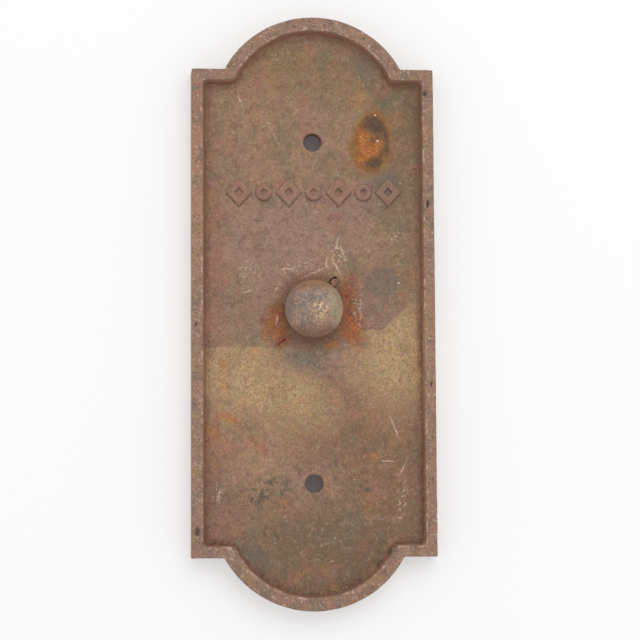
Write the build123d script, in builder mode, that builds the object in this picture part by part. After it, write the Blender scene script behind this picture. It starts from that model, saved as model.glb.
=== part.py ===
from build123d import *
from math import cos, radians, sin
import os

# A pedestrian push button on a cast-iron plate, for a wall box or a hollow pole. The plate stands upright:
# X is its width, Z is up, and its front looks along -Y. The origin is the middle of the plate's back land,
# which rests on the mounting surface at Y 0. The button slides on one push axis along Y, and the switch it
# works hangs behind the plate on a bent frame. All sizes are millimetres.

# ---- driving dimensions ----------------------------------------------------------------------------

# face plate
plate_width = 127.0
shoulder_height = 254.0  # straight sides, from lower shoulder to upper shoulder
arch_radius = 52.5
arch_rise = 27.4  # how far each arched end stands beyond its shoulders
arch_corner = 0.8  # rounding where an arch meets its shoulders
plate_depth = 14.3
side_draft = 2.0  # degrees
rim_width = 6.3
arch_rim_width = 7.4  # the rim is broader round the arches
rim_corner = 2.0  # rounding of the rim's inner corners
rim_height = 6.3  # rim above the field
rim_draft = 14.0  # degrees, on the rim's inner wall
rim_edge = 0.9
field_corner = 2.0  # rounding where the rim's wall meets the field
back_recess = 2.5
back_land = 9.0  # width of the flat border that rests on the wall
bolt_spacing = 177.8
bolt_hole = 9.5
bolt_pad = 24.0

# raised foundry marks: a plain row of lozenges with round bosses between them
lozenge_count = 4
boss_count = 3
mark_pitch = 13.0
lozenge_width = 13.6
lozenge_height = 15.0
lozenge_stroke = 3.5
boss_diameter = 8.6
boss_dimple = 3.0
mark_relief = 1.0
mark_draft = 20.0  # degrees
mark_row_x = 0.5
mark_row_z = 62.6

# button
button_rise = 1.0  # push axis above the middle of the plate
travel = 4.5
cap_diameter = 30.4
cap_height = 11.0
cap_crown_radius = 18.6
cap_shoulder = 2.4  # rounding between crown and side
cap_lip = 0.7
cap_wall = 3.0
cap_stand_off = travel + 1.0  # cap's lower rim above the field when released
hub_diameter = 13.0
hub_recess = 2.0  # hub's end above the cap's lower rim
socket_depth = 6.0
socket_gap = 0.01  # radial

# plunger and its guide
stem_diameter = 8.0
running_gap = 0.05  # radial clearance of every running fit
collar_diameter = 13.0
collar_length = 2.0
spigot_diameter = 8.4
spigot_length = 2.0
tail_diameter = 5.0
tail_across_flats = 4.2
tail_tip_diameter = 4.0
bushing_diameter = 16.0
bushing_flange = 22.0
bushing_flange_thickness = 2.0
bushing_rear = 5.0  # Y of the bushing's rear end
turned_edge = 0.6  # chamfer on turned and milled edges
stem_edge = 0.4
packing_diameter = 13.0
packing_depth = 4.0
assembly_gap = 0.1  # radial clearance of pieces put together by hand
nut_across_flats = 22.0
nut_thickness = 4.0
lock_washer_diameter = 24.0
lock_washer_notches = 14
notch_depth = 1.3
notch_width = 1.2
stop_washer_diameter = 15.0
washer_thickness = 1.0

# switch frame, a bent strap clocked to the line of its two screws
frame_clock = 52.0  # degrees from +X towards +Z
frame_screw_reach = 18.25  # from the push axis to each frame screw
frame_inside = 47.0
frame_width = 24.0
sheet = 1.6
bend_radius = 0.8
arm_tip_radius = 5.0
frame_screw_diameter = 4.2
frame_screw_head = 8.0
frame_screw_head_height = 2.5
frame_screw_washer = 9.0
frame_screw_mouth = 5.6  # widened end of each screw hole, at the field
frame_screw_mouth_depth = 1.4
frame_screw_sunk = 0.3  # screw ends stop this far below the field
small_washer_thickness = 0.6
small_washer_gap = 0.2  # radial

# return spring and the bridge it pushes on
return_spring_length = 9.5
return_spring_radius = 4.9
return_wire = 0.8
return_coils = 5
spring_bridge_thickness = 1.5
spring_bridge_width = 16.0
tab_width = 10.0
tab_proud = 0.4  # tab ends beyond the frame's outside

# switch
sleeve_stand_off = 0.5  # sleeve's front behind the spring bridge
sleeve_diameter = 7.0
sleeve_flange = 12.0
sleeve_flange_thickness = 1.0
insulating_washer_diameter = 11.0
insulating_washer_thickness = 0.8
clip_diameter = 8.4
clip_groove = 3.0
clip_groove_width = 0.8
clip_thickness = 0.7
clip_mouth = 2.6
tail_beyond_clip = 1.0
contact_spring_length = 2.4
contact_spring_radius = 4.6
contact_wire = 0.4
contact_coils = 3
strip = 1.0  # thickness of the brass contact strips
bar_length = 28.0
bar_width = 10.0
point_reach = 10.0  # contact points from the push axis
point_diameter = 5.0
point_height = 0.7
point_edge = 0.3
rivet_diameter = 2.0
rivet_head = 3.2
rivet_head_height = 0.35
contact_gap_pressed = 0.05  # left between the points when the button is fully pressed
block_length = frame_inside - 0.2
block_width = 28.0
block_depth = 10.0
tip_well_diameter = 12.0  # room for the plunger's end when the button is pressed
tip_well_depth = 3.2
rivet_well_depth = 1.6
screw_end_gap = 0.2  # hole left beyond the end of a screw or rivet
block_screw_diameter = 3.0
block_screw_length = 7.4
block_screw_offset = 8.0
block_screw_head = 6.0
block_screw_head_height = 2.2
barrier_height = 3.0
barrier_thickness = 2.0
barrier_length = 12.0
barrier_inset = 1.0
fixed_strip_width = 11.0
fixed_strip_inset = 0.5  # strip's middle nearer the push axis than its terminal
fixed_strip_point_end = 4.0  # strip beyond the middle of its contact point
terminal_u = 13.0
terminal_v = 9.0
terminal_screw_diameter = 3.4
terminal_screw_length = 11.0
terminal_screw_head = 6.6
terminal_screw_head_height = 2.4
terminal_washer = 7.4
lug_diameter = 8.4
lug_thickness = 0.8
neck_length = 2.6  # lug's neck, between its ring and its barrel
neck_overlap = 0.6
barrel_radius = 1.3
barrel_length = 6.0
lead_radius = 1.7
core_radius = 0.7
lead_bend = 14.0
lead_straight = 4.5  # from the lug's barrel to the bend
lead_drop_left = 64.0  # straight run below the bend
lead_drop_right = 78.0
core_bared = 7.0
core_bared_at_lug = 1.0
core_crimped = 5.5

# ---- places along the push axis, all values of Y ----------------------------------------------------

rim_front = -plate_depth
field = rim_front + rim_height
back_floor = -back_recess
cap_rim = field - cap_stand_off
cap_crown = cap_rim - cap_height
hub_end = cap_rim - hub_recess
stem_front = hub_end - socket_depth
flange_front = field - bushing_flange_thickness
packing_rear = flange_front + packing_depth
frame_rear = back_floor + sheet
nut_front = frame_rear + washer_thickness
stop_washer_rear = bushing_rear + washer_thickness
collar_rear = stop_washer_rear + collar_length
spring_bridge_front = collar_rear + return_spring_length
spring_bridge_rear = spring_bridge_front + spring_bridge_thickness
sleeve_front = spring_bridge_rear + sleeve_stand_off
sleeve_seat = sleeve_front + sleeve_flange_thickness
bar_front = sleeve_seat + contact_spring_length
bar_rear = bar_front + strip
clip_front = bar_rear + insulating_washer_thickness
tail_end = clip_front + clip_groove_width + tail_beyond_clip
fixed_point_front = bar_rear + point_height + travel + contact_gap_pressed
fixed_strip_front = fixed_point_front + point_height
block_front = fixed_strip_front + strip
block_rear = block_front + block_depth
block_middle = (block_front + block_rear) / 2
lug_front = block_rear + strip
lug_rear = lug_front + lug_thickness
terminal_head_seat = lug_rear + small_washer_thickness
lead_depth = lug_front + barrel_radius

# ---- planes and axes --------------------------------------------------------------------------------

clock = radians(frame_clock)
across = Vector(cos(clock), 0, sin(clock))  # along the line of the frame screws
slope = Vector(sin(clock), 0, -cos(clock))  # square to that line, towards the terminals
push_point = Vector(0, 0, button_rise)
push_axis = Axis(push_point, (0, 1, 0))
turning = Plane(origin=push_point, x_dir=(0, 1, 0), z_dir=(1, 0, 0))  # local x is Y, local y the radius
unit = Plane(origin=push_point, x_dir=across, z_dir=(0, 1, 0))  # local x across, local y down the slope
frame_half = frame_inside / 2 + sheet


def unit_point(y, u, v):
    """A point at depth y, u along the screw line and v down the slope from the push axis."""
    return push_point + Vector(0, y, 0) + across * u + slope * v


def unit_seats(y, spots):
    """Planes that look to the rear at depth y, one at each (across, slope) spot of the unit."""
    return [Plane(origin=unit_point(y, u, v), z_dir=(0, 1, 0)) for u, v in spots]


def arm_seats(y, offset):
    """Planes on the outsides of the frame's two arms, at depth y and on both sides of the push axis."""
    seats = []
    for side in (-1, 1):
        for v in (-offset, offset):
            spot = unit_point(y, side * frame_half, v)
            seats.append(Plane(origin=spot, x_dir=(0, 1, 0), z_dir=across * side))
    return seats


def turned(*profile):
    """A solid of revolution about the push axis from (Y, radius) corners."""
    with BuildPart() as body:
        with BuildSketch(turning):
            with BuildLine():
                Polyline(*profile, close=True)
            make_face()
        revolve(axis=push_axis)
    return body


def ring(front, rear, inner, outer):
    """A plain ring about the push axis, from its two Y values and two radii."""
    return turned((front, inner), (rear, inner), (rear, outer), (front, outer))


def pan_screws(seats, shank, length, head, height):
    """Slotted pan-head screws: heads stand on the seat planes and shanks run against their normals."""
    with BuildPart() as screws:
        with BuildSketch(*seats):
            Circle(head / 2)
        extrude(amount=height)
        for seat in seats:
            top = screws.faces().sort_by_distance(seat.origin + seat.z_dir * height)[0]
            fillet(top.edges(), height * 0.4)
        with BuildSketch(*seats):
            Circle(shank / 2)
        extrude(amount=-length)
        with BuildSketch(*[seat.offset(height) for seat in seats]):
            Rectangle(head * 1.1, head * 0.16)
        extrude(amount=-height * 0.45, mode=Mode.SUBTRACT)
    return screws


def small_washers(seats, shank, outside):
    """Flat washers lying on the seat planes, for screws with this shank."""
    with BuildPart() as washers:
        with BuildSketch(*seats):
            Circle(outside / 2)
            Circle(shank / 2 + small_washer_gap, mode=Mode.SUBTRACT)
        extrude(amount=small_washer_thickness)
    return washers


def coil(front, length, radius, wire, coils):
    """A helical compression spring about the push axis."""
    rise = length - wire
    with BuildPart() as spring:
        with BuildLine() as path:
            Helix(rise / coils, rise, radius, center=(0, front + wire / 2, button_rise), direction=(0, 1, 0))
        with BuildSketch(Plane(origin=path.line @ 0, z_dir=path.line % 0)):
            Circle(wire / 2)
        sweep(is_frenet=True)
    return spring


# ---- face plate -------------------------------------------------------------------------------------

arch_center = shoulder_height / 2 + arch_rise - arch_radius
screw_spots = [(-frame_screw_reach, 0), (frame_screw_reach, 0)]

with BuildSketch() as sharp_outline:
    Rectangle(plate_width, shoulder_height)
    with Locations((0, arch_center), (0, -arch_center)):
        Circle(arch_radius)

with BuildSketch() as outline:
    add(sharp_outline.sketch)
    shoulder_corners = [c for c in outline.vertices() if abs(c.X) < plate_width / 2 - 1]
    fillet(shoulder_corners, arch_corner)

with BuildSketch() as opening:
    Rectangle(plate_width - 2 * rim_width, shoulder_height - 2 * rim_width)
    with Locations((0, arch_center), (0, -arch_center)):
        Circle(arch_radius - arch_rim_width)
    fillet(opening.vertices(), rim_corner)

with BuildSketch() as lozenge:
    with BuildLine():
        half_w = lozenge_width / 2
        half_h = lozenge_height / 2
        Polyline((-half_w, 0), (0, -half_h), (half_w, 0), (0, half_h), close=True)
    make_face()
    offset(amount=-lozenge_stroke, kind=Kind.INTERSECTION, mode=Mode.SUBTRACT)

with BuildPart() as face_plate:
    with BuildSketch(Plane.XZ):
        add(outline.sketch)
    extrude(amount=plate_depth, taper=side_draft)
    # the sunk field inside the rim
    with BuildSketch(Plane.XZ.offset(plate_depth)):
        add(opening.sketch)
    extrude(amount=-rim_height, taper=rim_draft, mode=Mode.SUBTRACT)
    front_face = face_plate.faces().filter_by(Axis.Y).sort_by(Axis.Y)[0]
    fillet(front_face.edges(), rim_edge)
    field_face = face_plate.faces().filter_by(Axis.Y).sort_by(Axis.Y)[1]
    fillet(field_face.edges(), field_corner)
    # the sunk back inside its land, less a pad round each bolt hole
    with BuildSketch(Plane.XZ):
        add(sharp_outline.sketch)
        offset(amount=-back_land, kind=Kind.INTERSECTION)
        with Locations((0, bolt_spacing / 2), (0, -bolt_spacing / 2)):
            Circle(bolt_pad / 2, mode=Mode.SUBTRACT)
    extrude(amount=back_recess, mode=Mode.SUBTRACT)
    # foundry marks
    with BuildSketch(Plane.XZ.offset(-field)):
        with Locations((mark_row_x, mark_row_z)):
            with GridLocations(2 * mark_pitch, 0, lozenge_count, 1):
                add(lozenge.sketch)
            with GridLocations(2 * mark_pitch, 0, boss_count, 1):
                Circle(boss_diameter / 2)
                Circle(boss_dimple / 2, mode=Mode.SUBTRACT)
    extrude(amount=mark_relief, taper=mark_draft)
    # bolt holes, the bushing's bore and the frame screws' holes
    with BuildSketch(Plane.XZ):
        with Locations((0, bolt_spacing / 2), (0, -bolt_spacing / 2)):
            Circle(bolt_hole / 2)
        with Locations((0, button_rise)):
            Circle(bushing_diameter / 2 + assembly_gap)
    extrude(amount=plate_depth, mode=Mode.SUBTRACT)
    with BuildSketch(*unit_seats(0, screw_spots)):
        Circle(frame_screw_diameter / 2 + running_gap)
    extrude(amount=-plate_depth, mode=Mode.SUBTRACT)
    with BuildSketch(*unit_seats(field, screw_spots)):
        Circle(frame_screw_mouth / 2)
    extrude(amount=frame_screw_mouth_depth, mode=Mode.SUBTRACT)

# ---- button and plunger -----------------------------------------------------------------------------

crown_center = cap_crown + cap_crown_radius

with BuildPart() as button_cap:
    with BuildSketch(turning) as cap_profile:
        with Locations((crown_center, 0)):
            Circle(cap_crown_radius)
        with Locations((cap_crown, 0)):
            Rectangle(cap_height, cap_diameter / 2, align=(Align.MIN, Align.MIN), mode=Mode.INTERSECT)
        fillet(cap_profile.vertices().group_by(Axis.Y)[-1].sort_by(Axis.X)[0], cap_shoulder)
        fillet(cap_profile.vertices().group_by(Axis.Y)[-1].sort_by(Axis.X)[-1], cap_lip)
    revolve(axis=push_axis)
    # the hollow round the hub
    with BuildSketch(turning):
        with Locations((crown_center, 0)):
            Circle(cap_crown_radius - cap_wall)
        with Locations((cap_crown, hub_diameter / 2)):
            Rectangle(
                cap_height,
                cap_diameter / 2 - cap_wall - hub_diameter / 2,
                align=(Align.MIN, Align.MIN),
                mode=Mode.INTERSECT,
            )
    revolve(axis=push_axis, mode=Mode.SUBTRACT)
    # the hub's end and its socket
    with BuildSketch(turning):
        with Locations((hub_end, 0)):
            Rectangle(hub_recess, hub_diameter / 2 + assembly_gap, align=(Align.MIN, Align.MIN))
        with Locations((stem_front, 0)):
            Rectangle(socket_depth, stem_diameter / 2 + socket_gap, align=(Align.MIN, Align.MIN))
    revolve(axis=push_axis, mode=Mode.SUBTRACT)

stem_blank = turned(
    (stem_front, 0),
    (stem_front, stem_diameter / 2 - stem_edge),
    (stem_front + stem_edge, stem_diameter / 2),
    (stop_washer_rear, stem_diameter / 2),
    (stop_washer_rear, collar_diameter / 2),
    (collar_rear, collar_diameter / 2),
    (collar_rear, spigot_diameter / 2),
    (collar_rear + spigot_length, spigot_diameter / 2),
    (collar_rear + spigot_length, tail_diameter / 2),
    (sleeve_front, tail_diameter / 2),
    (sleeve_front, tail_tip_diameter / 2),
    (clip_front, tail_tip_diameter / 2),
    (clip_front, clip_groove / 2),
    (clip_front + clip_groove_width, clip_groove / 2),
    (clip_front + clip_groove_width, tail_tip_diameter / 2),
    (tail_end - stem_edge, tail_tip_diameter / 2),
    (tail_end, tail_tip_diameter / 2 - stem_edge),
    (tail_end, 0),
)
with BuildPart() as plunger_stem:
    add(stem_blank.part)
    with BuildSketch(unit.offset(collar_rear + spigot_length)):
        Rectangle(tail_diameter, tail_diameter)
        Rectangle(tail_diameter, tail_across_flats, mode=Mode.SUBTRACT)
    extrude(amount=sleeve_front - collar_rear - spigot_length, mode=Mode.SUBTRACT)

# ---- guide bushing and its fastenings ---------------------------------------------------------------

guide_bushing = turned(
    (flange_front, packing_diameter / 2),
    (flange_front, bushing_flange / 2 - turned_edge),
    (flange_front + turned_edge, bushing_flange / 2),
    (field, bushing_flange / 2),
    (field, bushing_diameter / 2),
    (bushing_rear - turned_edge, bushing_diameter / 2),
    (bushing_rear, bushing_diameter / 2 - turned_edge),
    (bushing_rear, stem_diameter / 2 + running_gap),
    (packing_rear, stem_diameter / 2 + running_gap),
    (packing_rear, packing_diameter / 2),
)

packing_bore = stem_diameter / 2 + running_gap
packing_outside = packing_diameter / 2 - running_gap
packing_ring = ring(flange_front + assembly_gap, packing_rear, packing_bore, packing_outside)

lock_washer_blank = ring(frame_rear, nut_front, bushing_diameter / 2 + assembly_gap, lock_washer_diameter / 2)
with BuildPart() as lock_washer:
    add(lock_washer_blank.part)
    with BuildSketch(unit.offset(frame_rear)):
        with PolarLocations(lock_washer_diameter / 2, lock_washer_notches):
            Rectangle(2 * notch_depth, notch_width)
    extrude(amount=washer_thickness, mode=Mode.SUBTRACT)

with BuildPart() as bushing_nut:
    with BuildSketch(unit.offset(nut_front)):
        RegularPolygon(nut_across_flats / 2, 6, major_radius=False)
    extrude(amount=nut_thickness)
    chamfer(bushing_nut.faces().sort_by(Axis.Y)[-1].edges(), turned_edge)
    with BuildSketch(unit.offset(nut_front)):
        Circle(bushing_diameter / 2 + assembly_gap / 2)
    extrude(amount=nut_thickness, mode=Mode.SUBTRACT)

stop_washer = ring(bushing_rear, stop_washer_rear, stem_diameter / 2 + assembly_gap, stop_washer_diameter / 2)

# ---- switch frame -----------------------------------------------------------------------------------

arm_reach = block_rear - back_floor

with BuildPart() as switch_frame:
    with BuildSketch(unit.offset(back_floor)):
        Rectangle(2 * frame_half, frame_width)
    extrude(amount=arm_reach)
    with BuildSketch(unit.offset(frame_rear)):
        Rectangle(frame_inside, frame_width)
    extrude(amount=arm_reach, mode=Mode.SUBTRACT)
    bends = switch_frame.edges().filter_by(Axis(push_point, slope))
    inner_bends = bends.filter_by_position(Axis.Y, frame_rear - 0.1, frame_rear + 0.1)
    fillet(inner_bends, bend_radius)
    bends = switch_frame.edges().filter_by(Axis(push_point, slope))
    outer_bends = bends.filter_by_position(Axis.Y, back_floor - 0.1, back_floor + 0.1)
    fillet(outer_bends, bend_radius + sheet)
    arm_tips = switch_frame.edges().filter_by(Axis(push_point, across))
    fillet(arm_tips.filter_by_position(Axis.Y, block_rear - 0.1, block_rear + 0.1), arm_tip_radius)
    # holes for the bushing and the frame screws
    with BuildSketch(unit.offset(back_floor)):
        Circle(bushing_diameter / 2 + assembly_gap)
        with Locations(*screw_spots):
            Circle(frame_screw_diameter / 2 + small_washer_gap)
    extrude(amount=sheet, mode=Mode.SUBTRACT)
    # slots for the spring bridge's tabs, and holes for the block screws
    with BuildSketch(unit.offset(spring_bridge_front - running_gap)):
        Rectangle(2 * frame_half + 1, tab_width + 2 * running_gap)
    extrude(amount=spring_bridge_thickness + 2 * running_gap, mode=Mode.SUBTRACT)
    with BuildSketch(*arm_seats(block_middle, block_screw_offset)):
        Circle(block_screw_diameter / 2 + assembly_gap)
    extrude(amount=-sheet, mode=Mode.SUBTRACT)

with BuildPart() as spring_bridge:
    with BuildSketch(unit.offset(spring_bridge_front)):
        Rectangle(frame_inside - 2 * assembly_gap, spring_bridge_width)
        Rectangle(2 * (frame_half + tab_proud), tab_width)
    extrude(amount=spring_bridge_thickness)
    with BuildSketch(unit.offset(spring_bridge_front)):
        Circle(tail_diameter / 2 + running_gap)
        Rectangle(tail_diameter * 2, tail_across_flats + 2 * running_gap, mode=Mode.INTERSECT)
    extrude(amount=spring_bridge_thickness, mode=Mode.SUBTRACT)

frame_screw_seats = unit_seats(frame_rear + small_washer_thickness, screw_spots)
frame_screw_length = frame_rear + small_washer_thickness - field - frame_screw_sunk
frame_screws = pan_screws(
    frame_screw_seats, frame_screw_diameter, frame_screw_length, frame_screw_head, frame_screw_head_height
)
frame_screw_washers = small_washers(
    unit_seats(frame_rear, screw_spots), frame_screw_diameter, frame_screw_washer
)

return_spring = coil(collar_rear, return_spring_length, return_spring_radius, return_wire, return_coils)

# ---- moving contact ---------------------------------------------------------------------------------

point_spots = [(-point_reach, 0), (point_reach, 0)]
tip_bore = tail_tip_diameter / 2 + running_gap

insulator_sleeve = turned(
    (sleeve_front, tip_bore),
    (sleeve_front, sleeve_flange / 2),
    (sleeve_seat, sleeve_flange / 2),
    (sleeve_seat, sleeve_diameter / 2),
    (bar_rear, sleeve_diameter / 2),
    (bar_rear, tip_bore),
)

contact_spring = coil(sleeve_seat, contact_spring_length, contact_spring_radius, contact_wire, contact_coils)

with BuildPart() as contact_bridge:
    with BuildSketch(unit.offset(bar_front)):
        SlotOverall(bar_length, bar_width)
        Circle(sleeve_diameter / 2 + running_gap, mode=Mode.SUBTRACT)
        with Locations(*point_spots):
            Circle(rivet_diameter / 2 + running_gap, mode=Mode.SUBTRACT)
    extrude(amount=strip)

with BuildPart() as bridge_points:
    with BuildSketch(unit.offset(bar_rear)):
        with Locations(*point_spots):
            Circle(point_diameter / 2)
    extrude(amount=point_height)
    chamfer(bridge_points.edges().group_by(Axis.Y)[-1], point_edge)
    with BuildSketch(unit.offset(bar_rear)):
        with Locations(*point_spots):
            Circle(rivet_diameter / 2)
    extrude(amount=-strip)
    with BuildSketch(unit.offset(bar_front)):
        with Locations(*point_spots):
            Circle(rivet_head / 2)
    extrude(amount=-rivet_head_height)

insulating_washer = ring(bar_rear, clip_front, tip_bore, insulating_washer_diameter / 2)

clip_blank = ring(clip_front, clip_front + clip_thickness, clip_groove / 2 + running_gap, clip_diameter / 2)
with BuildPart() as tail_clip:
    add(clip_blank.part)
    with BuildSketch(unit.offset(clip_front)):
        with Locations((0, clip_diameter / 2)):
            Rectangle(clip_mouth, clip_diameter)
    extrude(amount=clip_thickness, mode=Mode.SUBTRACT)

# ---- contact block and fixed contacts ---------------------------------------------------------------

terminal_spots = [(-terminal_u, terminal_v), (terminal_u, terminal_v)]
terminal_hole_floor = terminal_head_seat - terminal_screw_length - screw_end_gap

with BuildPart() as contact_block:
    with BuildSketch(unit.offset(block_front)):
        Rectangle(block_length, block_width)
    extrude(amount=block_depth)
    chamfer(contact_block.edges().filter_by(Axis.Y), turned_edge)
    with BuildSketch(unit.offset(block_rear)):
        with Locations((0, (block_width - barrier_length) / 2 - barrier_inset)):
            Rectangle(barrier_thickness, barrier_length)
    extrude(amount=barrier_height)
    with BuildSketch(unit.offset(block_front)):
        Circle(tip_well_diameter / 2)
    extrude(amount=tip_well_depth, mode=Mode.SUBTRACT)
    with BuildSketch(unit.offset(block_front)):
        with Locations(*point_spots):
            Circle(rivet_diameter / 2 + assembly_gap)
    extrude(amount=rivet_well_depth, mode=Mode.SUBTRACT)
    with BuildSketch(unit.offset(terminal_hole_floor)):
        with Locations(*terminal_spots):
            Circle(terminal_screw_diameter / 2 + running_gap)
    extrude(amount=block_rear - terminal_hole_floor, mode=Mode.SUBTRACT)
    with BuildSketch(*arm_seats(block_middle, block_screw_offset)):
        Circle(block_screw_diameter / 2 + running_gap)
    extrude(amount=-block_screw_length - screw_end_gap, mode=Mode.SUBTRACT)

block_screws = pan_screws(
    arm_seats(block_middle, block_screw_offset),
    block_screw_diameter,
    block_screw_length,
    block_screw_head,
    block_screw_head_height,
)


def fixed_contact(side):
    """A brass strip bent round the block's lower edge, from the contact point back to the terminal."""
    middle = side * (terminal_u - fixed_strip_inset)
    edge = block_width / 2
    point_end = -fixed_strip_point_end
    terminal_end = terminal_v - fixed_strip_width / 2
    with BuildPart() as contact:
        with BuildSketch(unit.offset(fixed_strip_front)):
            with Locations((middle, point_end)):
                Rectangle(fixed_strip_width, edge + strip - point_end, align=(Align.CENTER, Align.MIN))
            with Locations((side * point_reach, 0)):
                Circle(rivet_diameter / 2 + running_gap, mode=Mode.SUBTRACT)
        extrude(amount=strip)
        with BuildSketch(unit.offset(fixed_strip_front)):
            with Locations((middle, edge)):
                Rectangle(fixed_strip_width, strip, align=(Align.CENTER, Align.MIN))
        extrude(amount=lug_front - fixed_strip_front)
        with BuildSketch(unit.offset(block_rear)):
            with Locations((middle, terminal_end)):
                Rectangle(fixed_strip_width, edge + strip - terminal_end, align=(Align.CENTER, Align.MIN))
            with Locations((side * terminal_u, terminal_v)):
                Circle(terminal_screw_diameter / 2 + assembly_gap, mode=Mode.SUBTRACT)
        extrude(amount=strip)
        folds = contact.edges().filter_by(Axis(push_point, across)).sort_by(Axis(push_point, slope))[-2:]
        fillet(folds, strip * 0.7)
    return contact


fixed_contact_left = fixed_contact(-1)
fixed_contact_right = fixed_contact(1)

with BuildPart() as fixed_contact_points:
    with BuildSketch(unit.offset(fixed_strip_front)):
        with Locations(*point_spots):
            Circle(point_diameter / 2)
    extrude(amount=-point_height)
    chamfer(fixed_contact_points.edges().group_by(Axis.Y)[0], point_edge)
    with BuildSketch(unit.offset(fixed_strip_front)):
        with Locations(*point_spots):
            Circle(rivet_diameter / 2)
    extrude(amount=strip + rivet_well_depth - screw_end_gap)

# ---- terminals and leads ----------------------------------------------------------------------------

terminal_washers = small_washers(
    unit_seats(lug_rear, terminal_spots), terminal_screw_diameter, terminal_washer
)
terminal_screws = pan_screws(
    unit_seats(terminal_head_seat, terminal_spots),
    terminal_screw_diameter,
    terminal_screw_length,
    terminal_screw_head,
    terminal_screw_head_height,
)

barrel_start = terminal_v + lug_diameter / 2 + neck_length
barrel_end = barrel_start + barrel_length
neck_end = barrel_start + neck_overlap - terminal_v
lead_bend_start = barrel_end + lead_straight


def barrel_plane(side):
    """Square to a lug's barrel, at the barrel's start."""
    return Plane(origin=unit_point(lead_depth, side * terminal_u, barrel_start), z_dir=slope)


with BuildPart() as wire_lugs:
    with BuildSketch(unit.offset(lug_front)):
        with Locations(*terminal_spots):
            Circle(lug_diameter / 2)
            with Locations((0, neck_end / 2)):
                Rectangle(2 * barrel_radius, neck_end)
    extrude(amount=lug_thickness)
    with BuildSketch(unit.offset(lug_front)):
        with Locations(*terminal_spots):
            Circle(terminal_screw_diameter / 2 + assembly_gap)
    extrude(amount=lug_thickness, mode=Mode.SUBTRACT)
    with BuildSketch(barrel_plane(-1), barrel_plane(1)):
        Circle(barrel_radius)
    extrude(amount=barrel_length)
    with BuildSketch(barrel_plane(-1), barrel_plane(1)):
        Circle(core_radius + running_gap)
    extrude(amount=barrel_length, mode=Mode.SUBTRACT)


def lead(side, start, drop, outside, bore=0.0):
    """A wire that leaves its lug along the slope, bends to hang straight down and ends in the open."""
    begin = unit_point(lead_depth, side * terminal_u, start)
    turn = unit_point(lead_depth, side * terminal_u, lead_bend_start)
    with BuildPart() as wire:
        with BuildLine(Plane.XZ.offset(-lead_depth)) as path:
            Line((begin.X, begin.Z), (turn.X, turn.Z))
            bend = JernArc((turn.X, turn.Z), (slope.X, slope.Z), lead_bend, -frame_clock)
            Line(bend @ 1, (bend @ 1) + (0, -drop))
        with BuildSketch(Plane(origin=path.wire() @ 0, z_dir=path.wire() % 0)):
            Circle(outside)
            if bore:
                Circle(bore, mode=Mode.SUBTRACT)
        sweep()
    return wire


cover_start = barrel_end + core_bared_at_lug
core_start = barrel_end - core_crimped
cover_bore = core_radius + running_gap
lead_wire_left = lead(-1, cover_start, lead_drop_left, lead_radius, cover_bore)
lead_wire_right = lead(1, cover_start, lead_drop_right, lead_radius, cover_bore)
core_left = lead(-1, core_start, lead_drop_left + core_bared, core_radius)
core_right = lead(1, core_start, lead_drop_right + core_bared, core_radius)

with BuildPart() as wire_cores:
    add(core_left.part)
    add(core_right.part)

# ---- files ------------------------------------------------------------------------------------------

pieces = {
    "face_plate": face_plate,
    "guide_bushing": guide_bushing,
    "packing_ring": packing_ring,
    "lock_washer": lock_washer,
    "bushing_nut": bushing_nut,
    "stop_washer": stop_washer,
    "switch_frame": switch_frame,
    "frame_screws": frame_screws,
    "frame_screw_washers": frame_screw_washers,
    "spring_bridge": spring_bridge,
    "return_spring": return_spring,
    "contact_block": contact_block,
    "block_screws": block_screws,
    "fixed_contact_left": fixed_contact_left,
    "fixed_contact_right": fixed_contact_right,
    "fixed_contact_points": fixed_contact_points,
    "terminal_screws": terminal_screws,
    "terminal_washers": terminal_washers,
    "wire_lugs": wire_lugs,
    "lead_wire_left": lead_wire_left,
    "lead_wire_right": lead_wire_right,
    "wire_cores": wire_cores,
    "button_cap": button_cap,
    "plunger_stem": plunger_stem,
    "insulator_sleeve": insulator_sleeve,
    "contact_spring": contact_spring,
    "insulating_washer": insulating_washer,
    "tail_clip": tail_clip,
    "contact_bridge": contact_bridge,
    "bridge_points": bridge_points,
}

os.makedirs("parts", exist_ok=True)
for name, piece in pieces.items():
    piece.part.label = name
    export_step(piece.part, f"parts/{name}.step")
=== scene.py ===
from math import atan2, ceil, cos, hypot, pi, radians, sin, sqrt, tan

import bmesh
import bpy
import numpy as np
from mathutils import Matrix, Vector
from mathutils.geometry import delaunay_2d_cdt


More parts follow.
